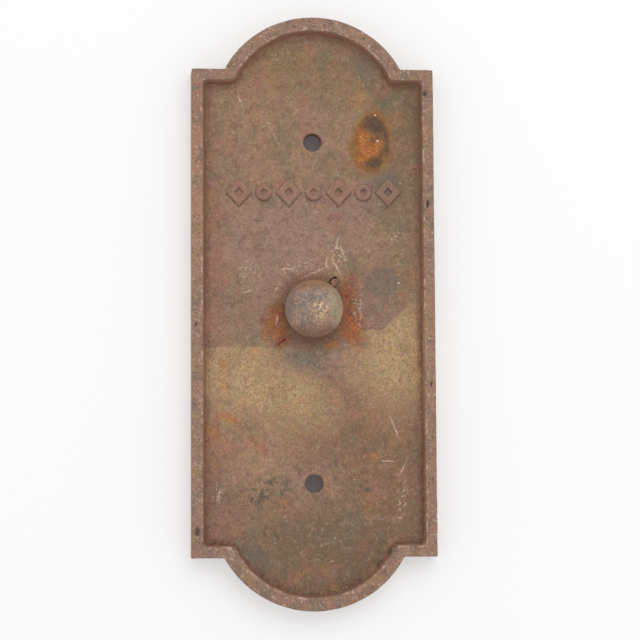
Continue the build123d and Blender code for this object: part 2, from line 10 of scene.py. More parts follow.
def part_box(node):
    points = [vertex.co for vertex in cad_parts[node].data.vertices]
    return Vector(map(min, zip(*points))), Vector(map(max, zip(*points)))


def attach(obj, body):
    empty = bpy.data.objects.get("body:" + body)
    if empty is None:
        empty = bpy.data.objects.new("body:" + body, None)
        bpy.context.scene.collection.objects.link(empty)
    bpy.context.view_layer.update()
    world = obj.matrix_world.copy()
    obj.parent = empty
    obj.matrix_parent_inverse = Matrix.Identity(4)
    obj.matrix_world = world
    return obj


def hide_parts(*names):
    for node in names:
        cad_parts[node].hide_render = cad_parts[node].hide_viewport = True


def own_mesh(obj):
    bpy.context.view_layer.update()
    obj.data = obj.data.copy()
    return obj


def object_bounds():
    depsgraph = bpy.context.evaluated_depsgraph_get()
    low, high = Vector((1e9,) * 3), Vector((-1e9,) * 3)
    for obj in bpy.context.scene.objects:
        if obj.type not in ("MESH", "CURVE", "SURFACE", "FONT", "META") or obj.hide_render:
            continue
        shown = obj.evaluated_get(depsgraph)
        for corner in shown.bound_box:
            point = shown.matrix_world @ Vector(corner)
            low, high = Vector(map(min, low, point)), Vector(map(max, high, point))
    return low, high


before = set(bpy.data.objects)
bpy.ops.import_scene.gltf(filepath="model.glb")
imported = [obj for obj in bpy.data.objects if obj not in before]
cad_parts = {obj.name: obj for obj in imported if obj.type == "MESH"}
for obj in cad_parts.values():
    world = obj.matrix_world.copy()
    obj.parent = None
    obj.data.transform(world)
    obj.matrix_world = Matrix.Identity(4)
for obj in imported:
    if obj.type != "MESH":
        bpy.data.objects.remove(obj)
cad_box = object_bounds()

# The looks of a pedestrian push button on a cast-iron plate. Shapes are worked out in millimetres in the
# frame's axes (X across, Z up, front towards -Y) and become metres when a mesh is made.
MM = 0.001

# ---- sizes the meshes share with the frame

plate_low, plate_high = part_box("face_plate")
HALF_WIDTH = plate_high.x / MM
TOP = plate_high.z / MM
DEPTH = -plate_low.y / MM
SHOULDER = 127.0  # height of the straight sides' ends above the middle
ARCH = 52.5  # radius of the arched ends
ARCH_Z = TOP - ARCH
DRAFT = tan(radians(2))
RIM = 6.3
ARCH_RIM = 7.4  # the rim is broader round the arches
RIM_DRAFT = tan(radians(14))
FIELD = -8.0
FOOT = RIM + (FIELD + DEPTH) * RIM_DRAFT  # where the rim's wall meets the field, inward from the outline
BACK_FLOOR = -2.5
LAND = 9.0  # width of the back's flat border
BOLT_Z = 88.9
BOLT_R = 4.75
PAD_R = 12.0
PAD_STEP = 0.3  # width of a bolt pad's sloping edge
PUSH_Z = 1.0
BORE_R = 8.1
SCREW_R = 2.15
MOUTH_R = 2.8
MOUTH_FLOOR = FIELD + 1.4
CLOCK = radians(52)  # the switch frame is turned by this about the push axis
ACROSS = np.array([cos(CLOCK), 0, sin(CLOCK)])
SLOPE = np.array([sin(CLOCK), 0, -cos(CLOCK)])
SCREW_REACH = 18.25
SCREWS = [(side * SCREW_REACH * ACROSS[0], PUSH_Z + side * SCREW_REACH * ACROSS[2]) for side in (-1, 1)]
MARK_X, MARK_Z = 0.5, 62.6
MARK_PITCH = 13.0
LOZENGE_W, LOZENGE_H, LOZENGE_STROKE = 13.6, 15.0, 3.5
BOSS_R, DIMPLE_R = 4.3, 1.5
MARK_SOFT = 0.55  # half the width of a mark's worn edge
SCAB_X, SCAB_Z, SCAB_WIDE, SCAB_TALL = 31.0, 89.4, 10.3, 15.9  # the large rust scab
CRACK = [(-13.1, -13.4), (-14.2, -14.2), (-15.0, -14.4), (-16.0, -15.6), (-16.9, -15.8), (-17.9, -16.7)]


# ---- noise on points


def lattice(cell, seed):
    """A repeatable value from -1 to 1 for each whole-number cell."""
    x, y, z = (cell[:, i].astype(np.uint64) for i in range(3))
    h = (x * 374761393 + y * 668265263 + z * 2246822519 + (seed * 3266489917 + 374761) % 4294967296) & 0xFFFFFFFF
    h = ((h ^ (h >> np.uint64(13))) * 1274126177) & 0xFFFFFFFF
    h = ((h ^ (h >> np.uint64(15))) * 2654435761) & 0xFFFFFFFF
    return ((h ^ (h >> np.uint64(16))) & 0xFFFF) / 32767.5 - 1


def grain(points, size, seed=0, octaves=1):
    """Smooth noise from about -1 to 1 whose features are this many millimetres across."""
    total, gain = 0, 1.0
    for octave in range(octaves):
        p = points / size + 1000 + 17 * octave
        low = np.floor(p)
        f = p - low
        f = f * f * (3 - 2 * f)
        value = 0
        for corner in np.ndindex(2, 2, 2):
            weight = np.prod(np.where(corner, f, 1 - f), axis=1)
            value = value + weight * lattice(low + corner, seed + octave)
        total = total + gain * value
        gain, size = gain * 0.5, size * 0.5
    return total


def smooth(low, high, value):
    t = np.clip((value - low) / (high - low), 0, 1)
    return t * t * (3 - 2 * t)


# ---- mesh pieces


class Shell:
    """Collects vertices and faces in millimetres, then welds them into one skin."""

    def __init__(self):
        self.points, self.faces, self.count = [], [], 0

    def patch(self, points, faces):
        self.points.append(np.asarray(points, float))
        self.faces += [[int(i) + self.count for i in face] for face in faces]
        self.count += len(points)

    def rows(self, rows, closed=True):
        """Quads between rows of equal length; a closed row joins its end to its start."""
        count = len(rows[0])
        points = np.concatenate(rows)
        index = np.arange(count if closed else count - 1)
        after = (index + 1) % count
        faces = [
            np.stack([r * count + index, r * count + after, (r + 1) * count + after, (r + 1) * count + index], 1)
            for r in range(len(rows) - 1)
        ]
        self.patch(points, np.concatenate(faces))

    def fan(self, ring, point):
        """Triangles from a closed ring to one point."""
        n = len(ring)
        self.patch(np.concatenate([ring, [point]]), [(k, (k + 1) % n, n) for k in range(n)])

    def welded(self):
        points = np.concatenate(self.points)
        _, first, inverse = np.unique(np.round(points, 3), axis=0, return_index=True, return_inverse=True)
        inverse = inverse.reshape(-1)
        faces = []
        for face in self.faces:
            face = [int(inverse[i]) for i in face]
            face = [v for i, v in enumerate(face) if v != face[i - 1]]
            if len(set(face)) > 2:
                faces.append(face)
        return points[first], faces


def make_piece(name, points, faces, body, stands_for, material, attributes=None):
    mesh = bpy.data.meshes.new(name)
    mesh.from_pydata((points * MM).tolist(), [], faces)
    for key, values in (attributes or {}).items():
        layer = mesh.attributes.new(key, "FLOAT", "POINT")
        layer.data.foreach_set("value", np.asarray(values, np.float32))
    mesh.polygons.foreach_set("use_smooth", [True] * len(mesh.polygons))
    mesh.update()
    piece = bpy.data.objects.new(name, mesh)
    bpy.context.scene.collection.objects.link(piece)
    mesh.materials.append(material)
    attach(piece, body)
    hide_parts(stands_for)
    return piece


def vertex_normals(points, faces):
    """Area-weighted normals of a welded mesh."""
    normals = np.zeros_like(points)
    for size in (3, 4):
        some = np.array([f for f in faces if len(f) == size], int)
        if len(some):
            a, b, c = points[some[:, 0]], points[some[:, 1]], points[some[:, 2]]
            cross = np.cross(b - a, c - a)
            if size == 4:
                d = points[some[:, 3]]
                cross = cross + np.cross(c - a, d - a)
            for i in range(size):
                np.add.at(normals, some[:, i], cross)
    return normals / np.maximum(np.linalg.norm(normals, axis=1, keepdims=True), 1e-9)


def rounded_path(corners, radii, step):
    """Points along a polyline with its corners rounded, about one step apart."""
    corners = [np.array(c, float) for c in corners]
    path = [corners[0]]
    for i in range(1, len(corners) - 1):
        into = corners[i - 1] - corners[i]
        away = corners[i + 1] - corners[i]
        into, away = into / np.linalg.norm(into), away / np.linalg.norm(away)
        half = np.arccos(np.clip(into @ away, -1, 1)) / 2
        reach = radii[i - 1] / tan(half)
        middle = corners[i] + (into + away) / np.linalg.norm(into + away) * radii[i - 1] / sin(half)
        start, end = corners[i] + into * reach - middle, corners[i] + away * reach - middle
        turn = atan2(start[0] * end[1] - start[1] * end[0], start @ end)
        pieces = max(3, ceil(abs(turn) * radii[i - 1] / step))
        for k in range(pieces + 1):
            a = turn * k / pieces
            spin = np.array([[cos(a), -sin(a)], [sin(a), cos(a)]])
            path.append(middle + spin @ start)
    path.append(corners[-1])
    filled = [path[0]]
    for a, b in zip(path, path[1:]):
        pieces = max(1, ceil(np.linalg.norm(b - a) / step - 0.2))
        filled += [a + (b - a) * k / pieces for k in range(1, pieces + 1)]
    return filled


# ---- the plate's casting

STEP, FIELD_STEP, BACK_STEP, BACK_FLOOR_STEP = 0.85, 1.06, 1.6, 1.8  # spacing of the casting's vertices
SIDE_N, CORNER_N, LEDGE_N, JOINT_N, ARCH_N = 148, 5, 16, 6, 66  # vertices on each stretch of a quarter outline
BOLT_N, BORE_N, MOUTH_N, PAD_N = 44, 48, 40, 72  # vertices round each kind of hole and pad


def outline(inset, front=True):
    """The plate's outline moved in by this much, as a closed ring of (x, z) points of fixed count."""
    corner = np.interp(inset, [0, 1.4, RIM, 9], [0.5, 0.8, 2.3, 2.0])
    joint = np.interp(inset, [0, RIM - 1, RIM, 10], [0.8, 1.2, 2.0, 5.0])
    broader = (ARCH_RIM - RIM) * np.clip((inset - 0.7) / (RIM - 1.7), 0, 1) if front else 0
    x, z, arch = HALF_WIDTH - inset, SHOULDER - inset, ARCH - inset - broader
    joint_z = z + joint
    joint_x = sqrt((arch + joint) ** 2 - (joint_z - ARCH_Z) ** 2)
    lean = atan2(joint_z - ARCH_Z, joint_x)
    quarter = [(x, t) for t in np.linspace(0, z - corner, SIDE_N, endpoint=False)]
    for a in np.linspace(0, pi / 2, CORNER_N, endpoint=False):
        quarter.append((x - corner + corner * cos(a), z - corner + corner * sin(a)))
    quarter += [(t, z) for t in np.linspace(x - corner, joint_x, LEDGE_N, endpoint=False)]
    for a in np.linspace(-pi / 2, lean - pi, JOINT_N, endpoint=False):
        quarter.append((joint_x + joint * cos(a), joint_z + joint * sin(a)))
    for a in np.linspace(lean, pi / 2, ARCH_N):
        quarter.append((arch * cos(a), ARCH_Z + arch * sin(a)))
    q = np.array(quarter)
    mirror_x, mirror_z = np.array([-1, 1]), np.array([1, -1])
    return np.concatenate([q, (q * mirror_x)[-2::-1], (-q)[1:], (q * mirror_z)[-2:0:-1]])


def at_depth(ring, y):
    return np.column_stack([ring[:, 0], np.full(len(ring), y), ring[:, 1]])


def circle(x, z, radius, count):
    a = np.arange(count) * 2 * pi / count
    r = radius(a) if callable(radius) else radius
    return np.column_stack([x + r * np.cos(a), z + r * np.sin(a)])


def inside(ring, points):
    """Which points lie inside a ring that every ray from the origin crosses once."""
    angle = np.arctan2(ring[:, 1], ring[:, 0])
    order = np.argsort(angle)
    reach = np.hypot(*ring.T)[order]
    limit = np.interp(np.arctan2(points[:, 1], points[:, 0]), angle[order], reach, period=2 * pi)
    return np.hypot(*points.T) < limit


def sheet_between(edge, holes, finer, step, depth_at, seed):
    """Triangles over the area inside edge and outside the round holes, with finer patches where asked."""
    rng = np.random.default_rng(seed)
    bands = [(-HALF_WIDTH, HALF_WIDTH, -TOP, TOP, step)] + finer
    grids = []
    for number, (x0, x1, z0, z1, gap) in enumerate(bands):
        gx, gz = np.meshgrid(np.arange(x0, x1, gap), np.arange(z0, z1, gap * 0.866))
        gx = gx + (np.arange(gx.shape[0]) % 2)[:, None] * gap / 2
        grid = np.column_stack([gx.ravel(), gz.ravel()])
        grid += rng.uniform(-0.16, 0.16, grid.shape) * gap
        keep = inside(edge * (1 - 0.55 * gap / 60), grid)
        for a0, a1, b0, b1, _ in bands[number + 1:]:
            keep &= ~((grid[:, 0] > a0) & (grid[:, 0] < a1) & (grid[:, 1] > b0) & (grid[:, 1] < b1))
        for x, z, ring in holes:
            around = ring - (x, z)
            keep &= ~inside(around * (1 + 0.55 * gap / np.hypot(*around.T))[:, None], grid - (x, z))
        grids.append(grid[keep])
    points, edges = [edge], []
    for ring in [edge] + [ring for *_, ring in holes]:
        start = sum(len(p) for p in points) if ring is not edge else 0
        if ring is not edge:
            points.append(ring)
        index = np.arange(len(ring))
        edges += list(zip(start + index, start + (index + 1) % len(ring)))
    flat = np.concatenate(points + grids)
    made = delaunay_2d_cdt([Vector(p) for p in flat], [(int(a), int(b)) for a, b in edges], [], 0, 1e-6)
    spots = np.array([tuple(v) for v in made[0]])
    faces = np.array(made[2], int)
    centre = spots[faces].mean(1)
    keep = inside(edge, centre)
    for x, z, ring in holes:
        keep &= ~inside(ring - (x, z), centre - (x, z))
    return np.column_stack([spots[:, 0], depth_at(spots), spots[:, 1]]), faces[keep]


def distance_to_line(points, line):
    """Distance from (x, z) points to a polyline, and how far along it the nearest place is."""
    best, along, gone = np.full(len(points), 1e9), np.zeros(len(points)), 0.0
    for a, b in zip(line, line[1:]):
        a, b = np.array(a), np.array(b)
        length = np.linalg.norm(b - a)
        t = np.clip((points - a) @ (b - a) / length**2, 0, 1)
        d = np.linalg.norm(points - a - t[:, None] * (b - a), axis=1)
        nearer = d < best
        best = np.where(nearer, d, best)
        along = np.where(nearer, gone + t * length, along)
        gone += length
    return best, along / gone


def mark_relief(x, z):
    """The worn row of lozenges and bosses, from 0 on the field to 1 on the marks' tops."""
    u = x - MARK_X
    v = z - MARK_Z
    soft = MARK_SOFT
    relief = np.zeros(len(x))
    slant = hypot(LOZENGE_W, LOZENGE_H)
    for k in range(4):
        c = (k - 1.5) * 2 * MARK_PITCH
        edge = LOZENGE_W * LOZENGE_H / 2 / slant - (
            np.abs(u - c) * LOZENGE_H + np.abs(v) * LOZENGE_W) / slant
        relief = np.maximum(relief, smooth(-soft, soft, edge) * smooth(-soft, soft, LOZENGE_STROKE - edge))
    for k in range(3):
        r = np.hypot(u - (k - 1) * 2 * MARK_PITCH, v)
        relief = np.maximum(relief, smooth(soft, -soft, r - BOSS_R) * smooth(-soft, soft, r - DIMPLE_R))
    return relief


def mouth_radius(side):
    """The broken edge round a screw's end; rust fills part of the upper one."""
    def radius(a):
        p = np.column_stack([np.cos(a) * 2, np.sin(a) * 2, np.full(len(a), side * 9.0)])
        rough = grain(p, 0.9, 5)
        if side > 0:
            return 1.7 + 0.1 * rough + (1.2 + 0.2 * rough) * smooth(-0.62, -0.22, np.cos(a - 3.05))
        return 0.6 + 0.1 * rough + (1.7 + 0.3 * rough) * smooth(0.45, 0.97, np.cos(a - 2.35))
    return radius


def field_depth(spots):
    return np.full(len(spots), FIELD)


def back_depth(spots):
    off = np.minimum(np.hypot(spots[:, 0], spots[:, 1] - BOLT_Z), np.hypot(spots[:, 0], spots[:, 1] + BOLT_Z))
    return BACK_FLOOR * smooth(PAD_R - 0.01, PAD_R + PAD_STEP, off)


def casting():
    """The plate: side walls, rim, field and hollow back as one closed skin, still smooth; weather() works out its pits
    and wear.
    """
    shell = Shell()
    front = [(0, 0), (DEPTH * DRAFT, -DEPTH), (RIM, -DEPTH), (FOOT, FIELD), (FOOT + 2.4, FIELD)]
    profile = rounded_path(front, [0.7, 0.5, 2.0], STEP)
    shell.rows([at_depth(outline(s), y) for s, y in profile])
    field_edge = outline(profile[-1][0])
    back = [(0, 0), (LAND, 0), (LAND + 0.4, BACK_FLOOR), (LAND + 1.6, BACK_FLOOR)]
    back = rounded_path(back, [0.4, 0.5], BACK_STEP)
    shell.rows([at_depth(outline(s, False), y) for s, y in back[::-1]])
    back_edge = outline(back[-1][0], False)

    front_holes, back_holes = [], []
    front_r, back_r = BOLT_R + 1.0, BOLT_R + 0.8
    steps = rounded_path([(front_r, FIELD), (BOLT_R, FIELD), (BOLT_R, 0), (back_r, 0)], [0.7, 0.3], 0.8)
    for z in (BOLT_Z, -BOLT_Z):
        shell.rows([at_depth(circle(0, z, r, BOLT_N), y) for r, y in steps])
        front_holes.append((0, z, circle(0, z, front_r, BOLT_N)))
        back_holes.append((0, z, circle(0, z, back_r, BOLT_N)))
    bore = circle(0, PUSH_Z, BORE_R, BORE_N)
    shell.rows([at_depth(bore, FIELD), at_depth(bore, BACK_FLOOR)])
    front_holes.append((0, PUSH_Z, bore))
    back_holes.append((0, PUSH_Z, bore))
    for (x, z), side in zip(SCREWS, (-1, 1)):
        mouth = circle(x, z, mouth_radius(side), MOUTH_N)
        deep = circle(x, z, lambda a, s=side: np.minimum(mouth_radius(s)(a), MOUTH_R - 0.1), MOUTH_N)
        narrow = circle(x, z, SCREW_R, MOUTH_N)
        shell.rows([at_depth(mouth, FIELD), at_depth((mouth + deep) / 2, FIELD + 0.5), at_depth(deep, MOUTH_FLOOR),
                    at_depth(narrow, MOUTH_FLOOR), at_depth(narrow, BACK_FLOOR)])
        front_holes.append((x, z, mouth))
        back_holes.append((x, z, narrow))
    # closer vertices over the row of marks, the scab and the crack: x from and to, z from and to, spacing
    finer = [
        (MARK_X - 47.5, MARK_X + 47.5, MARK_Z - 9.2, MARK_Z + 9.2, 0.52),
        (17.5, 42.5, 71.9, 107, 0.62),
        (-21, -9, -20.5, -11.5, 0.42),
    ]
    shell.patch(*sheet_between(field_edge, front_holes, finer, FIELD_STEP, field_depth, 3))
    back_sheet(shell, back_edge, back_holes)
    return shell.welded()


def back_sheet(shell, edge, holes):
    """The hollow back: its floor outside the bolt pads, the pads' edges and the pads' flat tops."""
    upper, lower, *centre_holes = holes
    pads = [(0, z, circle(0, z, PAD_R + PAD_STEP, PAD_N)) for z in (-BOLT_Z, BOLT_Z)]
    shell.patch(*sheet_between(edge, centre_holes + pads, [], BACK_FLOOR_STEP, back_depth, 8))
    for (x, z, pad), (*_, bolt) in zip(pads, (lower, upper)):
        shell.rows([at_depth(pad, BACK_FLOOR), at_depth(circle(x, z, PAD_R, PAD_N), 0)])
        rings = [circle(x, z, r, PAD_N) for r in np.linspace(PAD_R, 7.2, 4)]
        shell.rows([at_depth(r, 0) for r in rings])
        inner = rings[-1]
        n, m = len(inner), len(bolt)
        points = np.concatenate([at_depth(inner, 0), at_depth(bolt, 0)])
        faces, i, j = [], 0, 0
        while i < n or j < m:
            if j >= m or (i < n and (i + 1) * m <= (j + 1) * n):
                faces.append((i % n, (i + 1) % n, n + j % m))
                i += 1
            else:
                faces.append((i % n, n + (j + 1) % m, n + j % m))
                j += 1
        shell.patch(points, faces)


def weather(points, normals):
    """How far each vertex of the casting moves along its normal, and the relief and rust that colours follow."""
    x, y, z = points.T
    flat = np.column_stack([x, z])
    facing = -normals[:, 1]
    on_field = (y < FIELD + 0.02) & (y > FIELD - 0.02) & (facing > 0.9)
    marks = mark_relief(x, z) * (1 + 0.2 * grain(points, 2.4, 11, 2)) * (np.abs(z - MARK_Z) < 10)
    crack, along = distance_to_line(flat + 0.35 * np.column_stack(
        [grain(points, 1.3, 21), grain(points, 1.3, 22)]), CRACK)
    broken = 0.75 + 0.45 * grain(points, 1.4, 23)
    split = smooth(0.62, 0.15, crack) * (1 - 0.4 * along) * np.clip(broken, 0.25, 1)
    lifted = smooth(0.5, 0.9, crack) * smooth(2.2, 1.0, crack)
    egg = np.hypot((x - SCAB_X) / SCAB_WIDE, (z - SCAB_Z) / SCAB_TALL) + 0.06 * grain(points, 5, 31, 2)
    scab = smooth(1.12, 0.98, egg) * smooth(0.72, 0.98, egg)
    sunk = smooth(1.0, 0.8, egg)
    roll = 0.16 * grain(points, 26, 1, 2)
    skin = 0.055 * grain(points, 3.2, 2, 3)
    pits = np.minimum(grain(points, 2.1, 7, 2) + 0.62, 0) * 0.42
    relief = 0.95 * marks - 1.05 * split + 0.18 * lifted + 0.16 * scab
    relief += sunk * (-0.22 + 0.22 * grain(points, 2.6, 41, 3))
    move = np.where(on_field, relief + roll, 0) + skin + pits
    rim = y < -DEPTH + 1.6
    chips = np.minimum(grain(points, 3.4, 51, 2) + 0.45, 0) * 0.45
    move = np.where(rim, 0.05 * grain(points, 8, 52, 2) - 0.10 + chips + skin, move)
    for nx, nz, size, deep in ((58.7, 113.6, 1.3, 0.7), (58.9, 56.0, 1.2, 0.9), (59.6, 52.4, 0.8, 0.5),
                               (-60.4, -6.5, 1.0, 0.5), (60.2, -38.0, 1.2, 0.5), (-44.0, 124.4, 1.3, 0.4)):
        near = np.hypot((x - nx) / 0.6, (z - nz) / 1.7) / size
        move = move - np.where(y < -DEPTH + 2.5, deep * smooth(1.0, 0.2, near), 0)
    behind = normals[:, 1] > 0.5
    floor_back = behind & (y < BACK_FLOOR + 0.4)
    rough_back = 0.12 * grain(points, 4.5, 61, 3) - 0.16
    move = np.where(behind, np.where(floor_back, rough_back, 0), move)
    near_frame = floor_back & (np.hypot(x, z - PUSH_Z) < 30)
    move = np.where(near_frame, -0.06, move)
    bolt = np.minimum(np.hypot(x, z - BOLT_Z), np.hypot(x, z + BOLT_Z))
    calm = smooth(BOLT_R + 0.1, BOLT_R + 1.5, bolt) * smooth(BORE_R, BORE_R + 2, np.hypot(x, z - PUSH_Z))
    for sx, sz in SCREWS:
        calm = calm * smooth(MOUTH_R - 0.2, MOUTH_R + 0.9, np.hypot(x - sx, z - sz))
    wall_out = (facing < 0.5) & (normals[:, 1] < 0.5) & (y > -DEPTH + 1.0)
    wall_out &= (np.abs(x) > HALF_WIDTH - 1.5) | (np.abs(z) > SHOULDER - 1.5)
    move = np.where(wall_out, np.minimum(0.11 * grain(points, 5, 71, 3) - 0.14, 0), move * calm)
    rust = on_field * smooth(2.0, 0.4, crack + 0.5 * grain(points, 0.9, 24))
    relief = np.where(on_field, np.where(egg < 1.1, np.maximum(relief, -0.22), relief) * calm, 0)
    # inside the screw mouths the relief is set to -1, which the iron's colour turns into painted shade
    for sx, sz in SCREWS:
        relief = np.where((y > FIELD + 0.1) & (np.hypot(x - sx, z - sz) < MOUTH_R + 0.8), -1, relief)
    return move, relief, rust


def oriented(points, faces):
    """The same closed skin with every face turned outward."""
    mesh = bpy.data.meshes.new("turning")
    mesh.from_pydata(points.tolist(), [], faces)
    skin = bmesh.new()
    skin.from_mesh(mesh)
    bmesh.ops.recalc_face_normals(skin, faces=skin.faces)
    made = [[v.index for v in f.verts] for f in skin.faces]
    skin.free()
    bpy.data.meshes.remove(mesh)
    return made


# ---- node materials


def tone(*display):
    """A linear colour from ordinary display values of 11 to 255."""
    return (*[((v / 255 + 0.055) / 1.055) ** 2.4 for v in display], 1.0)


class Nodes:
    """Fills the node tree of a material or of the world."""

    def __init__(self, owner):
        owner.use_nodes = True
        self.tree = owner.node_tree
        self.tree.nodes.clear()

    def node(self, kind, *values, **settings):
        made = self.tree.nodes.new("ShaderNode" + kind)
        for key, value in settings.items():
            setattr(made, key, value)
        for socket, value in zip(made.inputs, values):
            self.feed(socket, value)
        return made

    def feed(self, socket, value):
        if isinstance(value, bpy.types.NodeSocket):
            self.tree.links.new(value, socket)
        elif value is not None:
            socket.default_value = value


class Finish(Nodes):
    """Builds one node material. Its methods add nodes and hand back their output sockets, and it keeps the
    colour painted so far."""

    def __init__(self, name):
        self.material = bpy.data.materials.new(name)
        super().__init__(self.material)
        self.out = self.node("OutputMaterial")
        where = self.node("TexCoord").outputs["Object"]
        self.place = self.vector("SCALE", where, scale=1 / MM)

    def vector(self, operation, a, b=None, scale=None):
        made = self.node("VectorMath", a, b, operation=operation)
        if scale is not None:
            self.feed(made.inputs["Scale"], scale)
        return made.outputs[1 if operation in ("LENGTH", "DOT_PRODUCT") else 0]

    def math(self, operation, a, b=None, c=None):
        return self.node("Math", a, b, c, operation=operation).outputs[0]

    def noise(self, size, detail=3.0, rough=0.55, seed=0.0, place=None):
        """Noise from 0 to 1 whose features are this many millimetres across."""
        moved = self.vector("ADD", place or self.place, (seed * 37.1, seed * 11.7, seed * 23.3))
        return self.texture(moved, size, detail, rough).outputs["Fac"]

    def texture(self, place, size, detail, rough):
        made = self.node("TexNoise", noise_dimensions="3D")
        for key, value in (("Vector", place), ("Scale", 1 / size), ("Detail", detail), ("Roughness", rough)):
            self.feed(made.inputs[key], value)
        return made

    def warped(self, size, reach, seed=0.0):
        """The place of a point, pushed about by noise so that edges of patches turn ragged."""
        moved = self.vector("ADD", self.place, (seed * 13.7, seed * 29.1, seed * 7.3))
        made = self.texture(moved, size, 4.0, 0.5)
        push = self.vector("SUBTRACT", made.outputs["Color"], (0.5, 0.5, 0.5))
        return self.vector("ADD", self.place, self.vector("SCALE", push, scale=2 * reach))

    def span(self, value, low, high, to_low=0.0, to_high=1.0):
        made = self.node("MapRange", value, low, high, to_low, to_high, interpolation_type="SMOOTHSTEP")
        return made.outputs[0]

    def patches(self, size, detail, rough, seed, low, high, to_low=0.0, to_high=1.0):
        """Noise turned into patches: to_low where it is under low, to_high where it is over high."""
        return self.span(self.noise(size, detail, rough, seed), low, high, to_low, to_high)

    def mix(self, share, a, b, how="MIX"):
        made = self.node("Mix", data_type="RGBA", blend_type=how)
        for key, value in ((0, share), (6, a), (7, b)):
            self.feed(made.inputs[key], value)
        return made.outputs[2]

    def stored(self, name):
        """A value kept on the mesh's vertices."""
        return self.node("Attribute", attribute_name=name).outputs["Fac"]

    def along(self, place, x, y, z):
        return self.vector("DOT_PRODUCT", place, (x, y, z))

    def ellipse(self, x, z, reach_x, reach_z, turn=0.0, place=None):
        """Where a point lies across and up an ellipse on the plate's face, both 1 at its edge. Dot products keep
        Cycles' node stack small; a Mapping node for each ellipse would overflow it."""
        off = self.vector("SUBTRACT", place or self.place, (x, 0, z))
        c, s = cos(radians(turn)), sin(radians(turn))
        return self.along(off, c / reach_x, 0, -s / reach_x), self.along(off, s / reach_z, 0, c / reach_z)

    def blob(self, x, z, reach_x, reach_z, turn=0.0, soft=0.35, place=None):
        """1 inside an ellipse on the plate's face, 0 outside, with a soft edge."""
        across, up = self.ellipse(x, z, reach_x, reach_z, turn, place)
        reach = self.vector("LENGTH", self.node("CombineXYZ", across, up, 0.0).outputs[0])
        return self.span(reach, 1 + soft, 1 - soft)

    def blobs(self, place, *rows):
        """The union of several blobs, each given as x, z, reach across, reach up, turn and softness."""
        return self.either(*[self.blob(*row, place) for row in rows])

    def both(self, a, b):
        return self.math("MULTIPLY", a, b)

    def either(self, *masks):
        whole = masks[0]
        for mask in masks[1:]:
            whole = self.math("MAXIMUM", whole, mask)
        return whole

    def wash(self, mask, shade, strength):
        self.color = self.mix(self.both(mask, strength), self.color, shade)

    def mottle(self, rows, within=None, rough=0.58):
        """Blotches of one tint each: feature size, where the noise starts and ends, tint, strength, seed."""
        for size, low, high, shade, strength, seed in rows:
            mask = self.patches(size, 4, rough, seed, low, high)
            self.wash(self.both(mask, within) if within else mask, shade, strength)

    def shade(self, mask, dim, lit):
        """Multiplies the colour by dim where the mask is 0 and by lit where it is 1."""
        self.color = self.mix(1.0, self.color, self.mix(mask, (*dim, 1), (*lit, 1)), "MULTIPLY")

    def bump(self, height, strength, distance, normal=None):
        """Distance is in millimetres."""
        made = self.node("Bump")
        for key, value in (("Strength", strength), ("Distance", distance * MM), ("Height", height), ("Normal", normal)):
            self.feed(made.inputs[key], value)
        return made.outputs[0]

    def surface(self, color, roughness, metallic=0.0, normal=None, specular=0.4, sheen=0.0):
        made = self.node("BsdfPrincipled")
        parts = {"Base Color": color, "Roughness": roughness, "Metallic": metallic, "Normal": normal,
                 "Specular IOR Level": specular, "Sheen Weight": sheen}
        for key, value in parts.items():
            self.feed(made.inputs[key], value)
        self.feed(self.out.inputs["Surface"], made.outputs[0])
        return self.material


